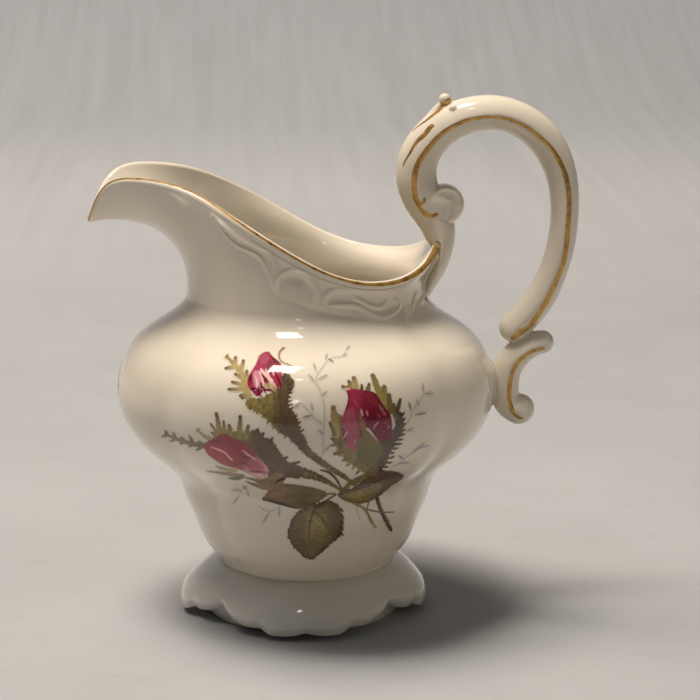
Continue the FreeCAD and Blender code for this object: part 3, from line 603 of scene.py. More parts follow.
class Relief:
    """The moulded scrolls, the same on both sides of the jug."""

    def __init__(self):
        self.lines = []
        for height, half, drawn in RELIEF_LINES:
            curve = line_spline(drawn)(np.linspace(0, 1, 8 * len(drawn)))
            self.lines.append((height, half, trace(wall_tree, curve)[0]))
        self.edge_drawn = line_spline(BAND_EDGE)(np.linspace(0, 1, 80))
        self.edge = trace(wall_tree, self.edge_drawn)[0]

    def height(self, points, normals):
        mirrored = points * (1, -1, 1)
        near = np.where(points[:, 1:2] > 0, mirrored, points)
        facing = np.where(points[:, 1:2] > 0, normals * (1, -1, 1), normals) @ VIEW_BACK
        total = np.zeros(len(points))
        for height, half, line in self.lines:
            low, high = line.min(0) - 3 * half, line.max(0) + 3 * half
            close = np.all((near > low) & (near < high), axis=1)
            gap, share = distance_to_line(near[close], line)
            taper = smooth_step(0, 0.12, share) * smooth_step(0, 0.12, 1 - share) * 0.5 + 0.5
            ridge = height * taper * np.exp(-((gap / half) ** 2))
            total[close] = np.maximum(total[close], ridge)
        close = near[:, 2] > 74
        drawn = front_view(near[close])
        gap = distance_to_line(near[close], self.edge)[0]
        edge_up = np.interp(drawn[:, 0], self.edge_drawn[:, 0], self.edge_drawn[:, 1])
        signed = np.where(drawn[:, 1] > edge_up, gap, -gap)
        ends = smooth_step(-36, -33, drawn[:, 0]) * (1 - smooth_step(12, 17, drawn[:, 0]))
        seen = smooth_step(0.0, 0.25, facing[close])
        total[close] += BAND_HEIGHT * smooth_step(-0.2, 1.1, signed) * ends * seen
        return total


# ---------------------------------------------------------------- printed moss roses

def lattice(places, scale, seed):
    """Smooth value noise, 0 to 1, over places in a plane."""
    table = np.random.default_rng(seed).random((64, 64))
    scaled = places * scale + 1000.0
    cell = np.floor(scaled).astype(int)
    part = scaled - cell
    part = part * part * (3 - 2 * part)
    x, y = cell[:, 0] % 64, cell[:, 1] % 64
    right, above = (x + 1) % 64, (y + 1) % 64
    low = table[x, y] * (1 - part[:, 0]) + table[right, y] * part[:, 0]
    high = table[x, above] * (1 - part[:, 0]) + table[right, above] * part[:, 0]
    return low * (1 - part[:, 1]) + high * part[:, 1]


def mottle(places, scale, seed):
    octaves = ((1.0, 0.55), (2.1, 0.3), (4.3, 0.15))
    return sum(weight * lattice(places, scale * step, seed + i) for i, (step, weight) in enumerate(octaves))


CRIMSON = (0.36, 0.032, 0.075)
DEEP_RED = (0.20, 0.014, 0.036)
DARK_RED = (0.11, 0.008, 0.022)
ROSE = (0.42, 0.10, 0.15)
PINK = (0.66, 0.27, 0.33)
PALE_PINK = (0.84, 0.55, 0.52)
TAN = (0.46, 0.35, 0.16)
YELLOW_OLIVE = (0.34, 0.26, 0.085)
OLIVE = (0.20, 0.155, 0.058)
GREEN_OLIVE = (0.15, 0.135, 0.045)
BROWN = (0.13, 0.085, 0.045)
DARK_BROWN = (0.062, 0.040, 0.028)
MAROON_BROWN = (0.12, 0.05, 0.04)
RUSSET = (0.33, 0.20, 0.115)
GREY_BLUE = (0.34, 0.31, 0.33)
DARK_GREY = (0.16, 0.14, 0.15)


def blend(first, second, amount):
    amount = np.asarray(amount)[:, None]
    return np.asarray(first) * (1 - amount) + np.asarray(second) * amount


def fading(colour, end, power, most=1.0):
    """A stroke's shade: one colour at its root that turns into another at its tip."""
    return lambda places, share: blend(colour, end, most * share**power)


class Painting:
    """Enamel colours laid in layers over places in a drawing, in millimetres."""

    def __init__(self, places):
        self.at = places
        self.colour = np.zeros((len(places), 3))
        self.cover = np.zeros(len(places))
        self.seed = 0

    def near(self, points, margin):
        low, high = np.min(points, axis=0) - margin, np.max(points, axis=0) + margin
        return np.nonzero(np.all((self.at > low) & (self.at < high), axis=1))[0]

    def lay(self, index, colour, opacity):
        under = self.cover[index] * (1 - opacity)
        total = opacity + under
        shown = total > 1e-4
        index, opacity, under, total = index[shown], opacity[shown], under[shown], total[shown]
        colour = np.broadcast_to(colour, (len(shown), 3))[shown]
        mixed = colour * opacity[:, None] + self.colour[index] * under[:, None]
        self.colour[index] = mixed / total[:, None]
        self.cover[index] = total

    def fill(self, outline, shade, ragged=0.0, soft=0.14, strength=1.0):
        """Fills a smooth outline; shade is a colour or a function of the places and their depth inside."""
        self.seed += 7
        ring = loop_points(outline)
        index = self.near(ring, 0.8)
        places = self.at[index]
        closed = np.vstack([ring, ring[:1]])
        gap = distance_to_line(places, closed)[0]
        inside = np.zeros(len(places), bool)
        for start, end in zip(closed, closed[1:]):
            crosses = (start[1] > places[:, 1]) != (end[1] > places[:, 1])
            rise = end[1] - start[1] if end[1] != start[1] else 1e-9
            across = start[0] + (end[0] - start[0]) * (places[:, 1] - start[1]) / rise
            inside ^= crosses & (places[:, 0] < across)
        depth = np.where(inside, gap, -gap)
        edge = depth + ragged * (mottle(places, 2.2, self.seed) - 0.5) * 2
        colour = shade(places, depth) if callable(shade) else np.array(shade)
        self.lay(index, colour, strength * smooth_step(-soft, soft, edge))

    def stroke(self, points, widths, shade, soft=0.12, strength=1.0, ragged=0.0):
        """A brush stroke along points; widths are spread evenly along it."""
        self.seed += 3
        points = np.array(points, float)
        line = points if len(points) == 2 else line_spline(points)(np.linspace(0, 1, 7 * len(points)))
        index = self.near(line, max(widths) + 0.5)
        places = self.at[index]
        gap, share = distance_to_line(places, line)
        half = np.interp(share, np.linspace(0, 1, len(widths)), widths) / 2
        if ragged:
            half = half * (1 + ragged * (mottle(places, 2.6, self.seed) - 0.5) * 2)
        colour = shade(places, share) if callable(shade) else np.array(shade)
        self.lay(index, colour, strength * smooth_step(-soft, soft, half - gap))

    def strokes(self, lines, widths, shade, **how):
        for line in lines:
            self.stroke(line, widths, shade, **how)

    def barbs(self, points, length, count, colours, sides=(-1, 1), lean=0.9, width=0.3, seed=1):
        """Short tapering strokes that grow forward from both sides of a line."""
        chance = np.random.default_rng(seed)
        curve = line_spline(points) if len(points) > 2 else Spline([0, 1], points)
        for at in np.linspace(0.08, 0.97, count):
            root = curve(at)
            ahead = unit(curve(min(at + 0.03, 1.0)) - curve(at - 0.03))
            for side in sides:
                out = np.array([-ahead[1], ahead[0]]) * side
                reach = length * (0.7 + 0.6 * chance.random()) * (1 - 0.35 * at)
                tip = root + (ahead * lean + out * (0.6 + 0.5 * chance.random())) * reach
                colour = colours[int(chance.integers(len(colours)))]
                middle = (root + tip) / 2 + out * 0.12 * reach
                self.stroke([root, middle, tip], (width, width * 1.15, width * 0.55), colour, soft=0.16)

    def feather(self, points, widths, colour, dark, length, count, seed):
        """A mossy sepal: a soft spine with darker barbs and a dark tip."""
        self.barbs(points, length, count, (colour, dark, colour), width=0.75, seed=seed)
        self.stroke(points, widths, fading(colour, dark, 3), ragged=0.3)

    def twig(self, stem, leaves, width=0.24):
        """A grey sprig: a thin stem and small pointed leaves, each from its root to its tip."""
        self.stroke(stem, (width, width * 0.9, width * 0.7), GREY_BLUE, strength=0.8)
        for root, tip, colour in leaves:
            self.stroke([root, tip], (0.25, 0.62, 0.34), colour, strength=0.85, soft=0.16)


def paint_sprigs(art):
    art.twig(((-4.5, 9.0), (-4.4, 12.8), (-4.2, 16.5), (-4.2, 20.8), (-5.2, 25.0), (-6.2, 28.2), (-4.5, 31.2),
              (-2.5, 33.2), (0.2, 33.8), (1.5, 35.5)), (
        ((-6.2, 30.0), (-6.8, 31.8), GREY_BLUE), ((-6.4, 27.0), (-8.0, 29.0), GREY_BLUE),
        ((-5.5, 28.0), (-3.5, 29.0), GREY_BLUE), ((-3.8, 32.8), (-3.5, 34.2), GREY_BLUE),
        ((-3.2, 33.0), (-2.0, 32.4), DARK_GREY), ((0.4, 33.8), (1.4, 34.2), GREY_BLUE),
        ((1.4, 35.4), (2.1, 36.2), GREY_BLUE), ((-4.9, 23.8), (-3.5, 24.8), GREY_BLUE),
        ((-4.3, 9.8), (-2.8, 11.2), GREY_BLUE), ((-4.3, 14.0), (-5.6, 15.2), GREY_BLUE)))
    art.twig(((-4.6, 16.8), (-6.5, 18.2), (-8.5, 20.5), (-10.0, 21.8), (-12.0, 22.0)), (
        ((-7.2, 18.9), (-9.4, 18.4), DARK_GREY), ((-7.0, 20.0), (-7.5, 21.8), GREY_BLUE),
        ((-10.4, 21.8), (-11.6, 20.9), GREY_BLUE)))
    art.twig(((15.6, 16.4), (17.2, 17.8), (17.8, 19.8), (18.6, 21.0), (19.8, 22.5), (20.8, 24.2),
              (22.5, 25.0)), (
        ((17.5, 20.2), (17.0, 22.1), DARK_GREY), ((18.5, 19.0), (21.2, 19.5), DARK_GREY),
        ((20.5, 24.8), (20.5, 26.8), GREY_BLUE), ((19.3, 21.5), (18.9, 22.9), GREY_BLUE),
        ((20.9, 24.2), (23.0, 24.4), GREY_BLUE)))
    art.twig(((15.2, 15.2), (16.6, 15.0), (18.2, 14.7)), (((16.4, 15.0), (18.0, 15.6), GREY_BLUE),))
    art.twig(((12.5, 5.8), (14.5, 6.8), (16.8, 7.0)), (
        ((15.6, 8.0), (14.5, 8.7), DARK_GREY), ((14.2, 6.8), (17.0, 7.1), GREY_BLUE)))
    art.twig(((14.9, 7.0), (16.5, 8.5), (18.8, 10.0), (20.6, 11.8)), (
        ((17.8, 9.4), (20.8, 11.9), GREY_BLUE), ((18.6, 10.4), (22.0, 11.4), GREY_BLUE)))
    art.twig(((-23.2, 1.2), (-24.6, 0.4), (-25.4, -1.0), (-26.6, -2.9)), (
        ((-25.0, 0.2), (-27.4, 0.1), GREY_BLUE), ((-23.6, 0.4), (-24.5, 1.2), DARK_GREY),
        ((-23.4, 0.2), (-23.1, -1.3), GREY_BLUE), ((-25.6, -1.4), (-26.9, -3.1), GREY_BLUE)))
    art.twig(((-14.8, -3.0), (-17.2, -5.0), (-19.0, -4.8), (-20.6, -3.8)), (
        ((-17.9, -5.4), (-19.6, -8.0), GREY_BLUE), ((-15.3, -4.2), (-15.5, -6.2), GREY_BLUE)))
    art.twig(((3.8, -4.0), (4.8, -7.4)), ())


def paint_stems(art):
    def bark(places, share):
        return blend(blend(OLIVE, YELLOW_OLIVE, mottle(places, 0.9, 5)), DARK_BROWN,
                     mottle(places, 1.6, 9) ** 1.5)

    art.stroke(((9.0, -1.8), (10.0, -4.8), (11.2, -7.2), (12.5, -9.8)), (0.9, 1.1, 1.2, 0.9), DARK_BROWN,
               ragged=0.4)
    art.stroke(((9.4, -2.2), (10.5, -5.0), (12.0, -8.4)), (0.3, 0.4, 0.3), OLIVE)
    art.stroke(((3.5, -3.4), (6.2, -4.5), (10.0, -5.3), (13.2, -5.3)), (0.3, 0.45, 0.3), BROWN)
    art.stroke(((3.0, -3.0), (5.5, -4.2), (6.8, -6.0), (7.8, -7.8), (8.5, -9.0)), (0.7, 0.9, 0.8), TAN,
               ragged=0.3)
    art.stroke(((3.6, -3.4), (6.0, -4.7), (7.6, -8.2)), (0.25, 0.3), BROWN)
    art.stroke(((7.0, -2.2), (6.5, -4.6)), (0.4, 0.3), BROWN)
    art.stroke(((-12.5, 17.0), (-10.8, 12.8), (-8.2, 9.6), (-5.5, 7.6), (-2.5, 5.6), (0.5, 3.8), (3.2, 1.6),
                (6.0, -0.6)), (3.6, 2.4, 1.9, 1.6, 1.4, 1.1, 0.9), bark, ragged=0.5)
    art.barbs(((-12.0, 16.0), (-9.5, 11.0), (-6.0, 7.8), (-2.0, 5.2)), 1.0, 11, (DARK_BROWN, OLIVE), seed=11)
    art.stroke(((-9.6, 10.2), (-5.0, 6.6), (0.4, 3.4)), (0.2, 0.3, 0.2), DARK_BROWN)
    art.stroke(((-6.4, 7.0), (-3.0, 5.2), (-0.6, 3.8)), (0.3, 0.5, 0.2), RUSSET, strength=0.7)
    art.stroke(((-13.6, 5.0), (-10.0, 4.6), (-7.0, 3.9), (-3.5, 2.3), (0.0, 0.2)), (3.4, 2.8, 2.0, 1.3, 0.8),
               bark, ragged=0.4)
    art.stroke(((-12.0, 5.9), (-7.4, 4.7), (-2.6, 2.3)), (0.4, 0.4, 0.3), DARK_BROWN)
    art.barbs(((-15.0, 5.0), (-10.0, 4.4), (-4.0, 2.6)), 1.0, 8, (DARK_BROWN, BROWN), seed=12)
    art.stroke(((8.4, 4.6), (5.5, 3.1), (3.0, 2.2), (0.0, -0.4)), (2.4, 1.8, 1.3, 0.9), bark, ragged=0.4)
    art.stroke(((-5.0, 5.2), (-3.0, 4.6), (-1.6, 3.4), (-0.4, 1.6), (0.4, 0.2)), (0.5, 0.7, 0.6, 0.4),
               MAROON_BROWN)


def leaf_shade(light, middle, dark, centre, reach, seed):
    """Colours of a leaf: lightest near a centre, darker towards its edge and with small mottles."""
    def shade(places, depth):
        gap = np.linalg.norm(places - centre, axis=1) / reach
        base = blend(light, middle, smooth_step(0.1, 0.8, gap + 0.5 * (mottle(places, 0.5, seed) - 0.5)))
        veined = smooth_step(0.45, 0.75, mottle(places * (1, 2.2), 1.1, seed + 4))
        base = blend(base, dark, 0.3 * veined)
        return blend(dark, base, 0.25 + 0.75 * smooth_step(-0.1, 1.6, depth))
    return shade


def paint_leaves(art):
    art.fill(((-3.5, -0.8), (-5.5, 0.5), (-8.0, 1.1), (-12.0, 1.6), (-17.2, 1.1), (-18.2, 0.0), (-19.6, -2.3),
              (-17.4, -2.6), (-14.5, -3.6), (-11.2, -4.5), (-8.0, -4.1), (-5.4, -2.6)),
             leaf_shade(GREEN_OLIVE, RUSSET, BROWN, (-9.5, -2.0), 9.0, 31), ragged=0.25)
    art.stroke(((-3.4, -0.9), (-8.0, -1.2), (-13.0, -1.4), (-18.4, -2.0)), (0.45, 0.35, 0.2), BROWN,
               strength=0.8)
    art.strokes((((-6.0, -1.1), (-9.5, 0.6)), ((-9.0, -1.3), (-13.0, 0.9)), ((-12.0, -1.4), (-16.0, 0.4)),
                 ((-7.4, -1.2), (-9.6, -3.4)), ((-10.4, -1.4), (-13.4, -3.2))),
                (0.4, 0.2), BROWN, soft=0.25, strength=0.35)
    art.stroke(((-19.4, -2.2), (-14.5, -3.4), (-11.0, -4.4)), (0.3, 0.7, 0.3), DARK_BROWN)
    art.stroke(((-1.4, -0.8), (-2.6, -0.7), (-3.8, -0.8)), (0.5, 0.5), OLIVE)
    art.stroke(((-1.4, -1.0), (-3.0, -2.0), (-5.0, -3.3), (-7.4, -4.2)), (0.5, 0.6, 0.5), BROWN)

    art.fill(((-3.5, -2.3), (-1.4, -3.0), (-0.2, -5.2), (0.4, -8.6), (-0.2, -11.2), (-1.6, -12.6),
              (-3.0, -13.8), (-5.0, -15.4), (-7.2, -17.3), (-9.8, -16.2), (-12.0, -13.8), (-13.4, -11.0),
              (-12.6, -8.0), (-10.8, -5.2), (-8.0, -4.0), (-5.4, -2.8)),
             leaf_shade(YELLOW_OLIVE, OLIVE, DARK_BROWN, (-6.2, -7.5), 8.5, 41), ragged=0.45)
    art.fill(((-6.8, -3.6), (-2.2, -3.4), (0.0, -7.6), (-0.8, -11.6), (-3.2, -11.2), (-3.4, -8.0),
              (-4.8, -5.4)),
             DARK_BROWN, soft=0.9, strength=0.5, ragged=0.5)
    art.fill(((-10.8, -5.6), (-9.2, -6.0), (-9.2, -11.0), (-8.4, -15.2), (-11.6, -13.6), (-12.8, -10.6),
              (-12.2, -8.0)),
             BROWN, soft=0.9, strength=0.4, ragged=0.5)
    art.stroke(((-3.6, -2.6), (-6.6, -4.8), (-7.8, -8.4), (-8.0, -12.2)), (0.5, 0.6, 0.4, 0.2), DARK_BROWN,
               strength=0.75)
    art.stroke(((-7.0, -5.2), (-4.8, -6.8), (-3.6, -9.0)), (0.6, 0.7, 0.3), DARK_BROWN, soft=0.25,
               strength=0.7)
    art.strokes((((-6.4, -4.8), (-3.0, -7.4)), ((-7.6, -7.2), (-3.4, -11.0)), ((-8.2, -10.2), (-4.6, -14.0)),
                 ((-7.0, -5.6), (-10.6, -7.4)), ((-8.0, -8.4), (-12.2, -10.4)),
                 ((-8.4, -11.6), (-11.4, -13.6))),
                (0.4, 0.2), BROWN, soft=0.3, strength=0.35)
    art.stroke(((-1.0, -3.4), (0.1, -6.6), (0.2, -10.0)), (0.7, 1.3, 0.5), BROWN, strength=0.8, ragged=0.5)
    for height in np.arange(-4.6, -12.0, -1.5):
        art.stroke(((0.0, height), (0.8, height - 0.7)), (0.7, 0.15), DARK_BROWN)

    art.fill(((-0.8, -1.0), (0.5, 0.2), (3.0, 0.7), (5.6, 2.7), (8.8, 4.4), (12.0, 5.1), (14.8, 4.5),
              (15.8, 3.9), (14.2, 2.2), (12.0, 0.7), (10.0, -1.0), (7.0, -2.7), (4.0, -3.2), (1.5, -2.6)),
             leaf_shade(YELLOW_OLIVE, OLIVE, MAROON_BROWN, (4.0, -1.4), 8.0, 51), ragged=0.2)
    art.fill(((2.5, 0.2), (5.6, 2.6), (8.8, 4.4), (12.0, 5.0), (15.4, 3.9), (11.0, 2.8), (6.4, 1.2)),
             MAROON_BROWN, strength=0.8, soft=0.3)
    art.stroke(((-0.8, -1.0), (2.5, 0.0), (6.2, 1.0), (10.0, 2.7), (14.4, 4.0)), (0.35, 0.35, 0.2),
               DARK_BROWN, strength=0.8)
    art.strokes((((2.5, 0.0), (4.6, -2.6)), ((5.0, 0.7), (7.8, -1.8)), ((7.6, 1.6), (10.4, 0.2))),
                (0.4, 0.2), BROWN, soft=0.3, strength=0.4)


def moss(places, low, high, dark, seed):
    """Mossy green-brown that turns darker to the right of a span."""
    right = smooth_step(low, high, places[:, 0] + 1.6 * (mottle(places, 0.6, seed) - 0.5))
    pale = blend(YELLOW_OLIVE, OLIVE, mottle(places, 0.8, seed + 1))
    return blend(blend(pale, dark, right), DARK_BROWN,
                 0.6 * smooth_step(0.5, 0.8, mottle(places, 1.8, seed + 2)))


def paint_first_bud(art):
    art.feather(((-23.2, 24.4), (-24.2, 27.5), (-25.2, 30.0), (-27.0, 32.0), (-28.7, 33.7)),
                (1.5, 1.7, 1.5, 1.2, 0.4), TAN, OLIVE, 0.8, 3, 21)
    for root, tip in (((-26.0, 31.0), (-28.8, 30.7)), ((-26.4, 31.4), (-26.4, 33.4)),
                      ((-25.0, 30.0), (-24.4, 32.6)), ((-24.4, 28.0), (-26.4, 29.2)),
                      ((-24.0, 26.2), (-27.2, 27.2)), ((-24.2, 25.4), (-28.0, 25.4)),
                      ((-23.6, 24.4), (-25.2, 23.8)), ((-22.8, 23.8), (-24.8, 23.2)),
                      ((-23.4, 27.4), (-23.6, 30.0))):
        art.stroke((root, tip), (1.2, 1.1, 0.75), fading(TAN, BROWN, 2), ragged=0.3)
    art.fill(((-24.0, 21.7), (-21.5, 19.8), (-19.0, 18.2), (-17.4, 16.4), (-15.6, 14.7), (-13.0, 13.2),
              (-10.2, 10.6), (-8.6, 10.0), (-8.4, 11.9), (-9.7, 14.2), (-10.6, 17.0), (-11.6, 19.4),
              (-13.0, 21.6), (-12.6, 24.2), (-11.6, 26.6), (-12.4, 28.6), (-14.6, 29.4), (-15.6, 26.0),
              (-18.0, 24.4), (-20.5, 23.2), (-22.8, 23.2)),
             lambda places, depth: moss(places, -19.0, -14.5, BROWN, 61), ragged=0.5)
    art.barbs(((-15.6, 28.8), (-13.2, 26.0), (-13.2, 22.0), (-12.0, 19.0), (-10.0, 14.4)), 1.3, 15,
              (DARK_BROWN, BROWN, DARK_BROWN), sides=(1,), lean=-0.2, width=0.5, seed=62)
    art.barbs(((-23.4, 21.8), (-19.4, 18.6), (-15.8, 15.0), (-12.0, 12.4)), 0.8, 8, (OLIVE, BROWN),
              sides=(-1,), lean=0.4, width=0.45, seed=63)
    art.fill(((-17.9, 34.7), (-20.0, 34.2), (-21.2, 32.0), (-22.6, 29.6), (-23.4, 26.6), (-22.4, 25.0),
              (-20.6, 23.6), (-19.2, 25.0), (-17.4, 24.6), (-15.8, 25.4), (-14.8, 28.6), (-15.0, 31.8),
              (-16.4, 33.0), (-17.2, 33.6)),
             lambda places, depth: blend(CRIMSON, DEEP_RED, smooth_step(0.35, 0.75, mottle(places, 0.5, 71))))
    art.fill(((-21.6, 30.0), (-20.2, 29.8), (-19.8, 27.2), (-20.6, 25.2), (-21.6, 26.2), (-22.0, 28.0)), PINK,
             strength=0.9, soft=0.35)
    art.fill(((-20.8, 33.4), (-18.4, 34.2), (-18.0, 33.0), (-19.6, 31.8)), ROSE, strength=0.7, soft=0.4)
    art.stroke(((-20.0, 30.4), (-18.8, 29.0), (-17.6, 27.4), (-17.6, 25.0)), (0.5, 0.9, 1.2, 0.7), PALE_PINK,
               ragged=0.3)
    art.strokes((((-20.4, 29.8), (-19.6, 27.6), (-19.6, 25.4)), ((-18.8, 30.4), (-18.0, 28.6), (-17.0, 27.6)),
                 ((-18.6, 29.0), (-17.4, 30.2), (-16.8, 29.0)), ((-19.4, 27.2), (-18.6, 25.6), (-17.6, 24.8)),
                 ((-17.0, 27.2), (-16.2, 25.8)), ((-21.4, 28.6), (-21.0, 26.4), (-21.4, 25.2))),
                (0.3, 0.5, 0.25), PALE_PINK, ragged=0.4)
    art.fill(((-19.4, 26.6), (-18.0, 27.0), (-16.6, 26.6), (-16.2, 25.0), (-18.4, 25.0)), TAN, strength=0.8,
             soft=0.4)
    art.strokes((((-19.8, 29.0), (-18.8, 28.0), (-18.0, 27.2)), ((-22.9, 27.4), (-22.6, 29.4)),
                 ((-20.6, 25.8), (-20.4, 24.2), (-19.8, 23.4)), ((-19.4, 25.8), (-18.8, 24.4)),
                 ((-19.0, 25.2), (-17.6, 25.2), (-16.8, 24.6)), ((-22.6, 25.4), (-21.4, 25.6), (-20.8, 25.2)),
                 ((-17.4, 33.8), (-16.8, 33.0), (-15.2, 32.0)), ((-16.4, 29.4), (-15.4, 27.4), (-15.0, 25.6)),
                 ((-20.0, 27.0), (-19.6, 25.8), (-19.0, 25.4))),
                (0.4, 0.6, 0.2), DARK_RED, ragged=0.4)
    art.stroke(((-14.3, 35.7), (-15.2, 34.9), (-15.5, 33.6), (-14.9, 32.4), (-13.9, 31.8)), (0.7, 0.5, 0.35),
               RUSSET)
    art.stroke(((-13.6, 31.8), (-12.2, 31.0), (-11.4, 30.4)), (0.3, 0.5), BROWN)


def paint_third_bud(art):
    def petals(places, depth):
        along = places[:, 0] + 24.5 - 1.3 * (places[:, 1] - 6.5)
        return blend((0.33, 0.04, 0.06), PINK,
                     smooth_step(0, 5.5, along + 3 * (mottle(places, 0.5, 91) - 0.5)))

    art.feather(((-33.8, 11.2), (-36.4, 11.6), (-38.8, 12.2), (-41.2, 13.0), (-43.8, 14.2)),
                (1.5, 1.2, 1.1, 0.9, 0.5), OLIVE, BROWN, 1.5, 5, 22)
    art.feather(((-32.4, 12.8), (-34.0, 13.6), (-35.8, 15.2)), (1.0, 0.8, 0.3), TAN, OLIVE, 0.6, 2, 23)
    art.fill(((-32.0, 13.0), (-30.6, 15.6), (-28.0, 15.2), (-25.6, 15.0), (-23.0, 15.0), (-20.5, 15.0),
              (-19.0, 13.6), (-17.0, 12.2), (-14.8, 8.8), (-12.4, 7.0), (-9.6, 5.4), (-10.0, 3.6),
              (-13.8, 3.4), (-18.0, 3.0), (-18.4, 5.6), (-21.0, 8.4), (-24.0, 11.4), (-28.0, 12.4)),
             lambda places, depth: moss(places, -26.0, -20.0, BROWN, 81), ragged=0.6)
    for root, tip, width in (((-30.2, 14.4), (-31.2, 19.3), 1.3), ((-30.8, 14.2), (-32.6, 16.8), 0.8),
                             ((-31.0, 13.6), (-32.4, 14.6), 0.7), ((-29.0, 14.6), (-29.4, 17.4), 1.0),
                             ((-27.6, 14.4), (-28.0, 16.4), 1.2), ((-25.4, 13.6), (-25.2, 18.6), 1.3),
                             ((-23.8, 13.4), (-23.2, 16.2), 1.3), ((-22.0, 13.4), (-20.8, 15.4), 1.0),
                             ((-20.6, 13.0), (-19.4, 14.4), 1.0), ((-18.2, 11.4), (-17.2, 13.2), 0.9),
                             ((-15.2, 7.8), (-13.4, 8.4), 0.9), ((-13.0, 6.6), (-10.4, 7.2), 0.8)):
        base, end = (YELLOW_OLIVE, BROWN) if root[0] < -23.0 else (BROWN, DARK_BROWN)
        art.stroke((root, tip), (width, width, width * 0.65), fading(base, end, 1.5), ragged=0.3)
    art.fill(((-34.1, 11.4), (-33.0, 12.6), (-31.4, 13.2), (-30.0, 14.3), (-27.5, 13.5), (-25.0, 12.5),
              (-22.5, 10.5), (-20.2, 7.8), (-18.3, 5.6), (-18.5, 3.8), (-20.0, 3.2), (-23.0, 4.2),
              (-26.0, 5.5), (-29.5, 6.5), (-32.0, 8.0), (-33.8, 9.8)),
             petals)
    art.fill(((-33.8, 11.2), (-31.4, 12.0), (-28.0, 10.4), (-26.4, 8.0), (-28.6, 7.0), (-32.0, 8.4)),
             (0.42, 0.045, 0.07), strength=0.8, soft=0.4)
    art.fill(((-22.6, 6.6), (-20.6, 7.0), (-19.2, 5.4), (-20.4, 4.6), (-22.8, 5.2)), CRIMSON, strength=0.6,
             soft=0.5)
    art.strokes((((-29.0, 9.6), (-28.2, 8.6), (-27.2, 7.6)), ((-24.6, 10.2), (-23.2, 9.0), (-21.2, 7.8)),
                 ((-32.6, 11.0), (-30.4, 10.2), (-28.8, 9.4)), ((-22.4, 4.2), (-20.4, 3.9), (-18.9, 3.3))),
                (0.2, 0.5, 0.3), PALE_PINK, strength=0.85)
    art.strokes((((-25.6, 9.4), (-24.0, 8.4), (-22.6, 8.4)), ((-28.8, 8.4), (-27.6, 7.4)),
                 ((-32.4, 12.2), (-30.6, 12.6)), ((-23.0, 5.0), (-20.6, 4.8), (-18.6, 4.6)),
                 ((-26.4, 6.6), (-24.4, 6.9), (-23.0, 6.2))),
                (0.2, 0.5, 0.3), DARK_RED, strength=0.8)
    for line, colour in ((((-24.8, 3.7), (-28.8, 4.3), (-33.4, 4.9)), RUSSET),
                         (((-26.4, 5.0), (-29.0, 5.4), (-31.3, 6.1)), TAN),
                         (((-24.6, 3.6), (-26.6, 3.1), (-28.3, 3.2)), OLIVE),
                         (((-18.4, 1.8), (-21.0, 2.6), (-24.0, 3.4)), RUSSET),
                         (((-17.6, 0.6), (-19.6, 0.9), (-23.8, 2.4)), RUSSET),
                         (((-17.8, 1.6), (-19.4, 0.4)), RUSSET)):
        art.stroke(line, (1.1, 0.9, 0.25), fading(colour, BROWN, 2), ragged=0.3)
    art.fill(((-18.6, 3.4), (-15.0, 4.6), (-14.0, 2.8), (-16.4, 0.8), (-19.0, 0.8), (-21.6, 2.2)),
             lambda places, depth: blend(OLIVE, RUSSET, mottle(places, 0.8, 95)), soft=0.4, ragged=0.4)
    art.stroke(((-14.2, 3.1), (-16.0, 2.3), (-16.4, 1.8)), (0.8, 0.3), DARK_BROWN)


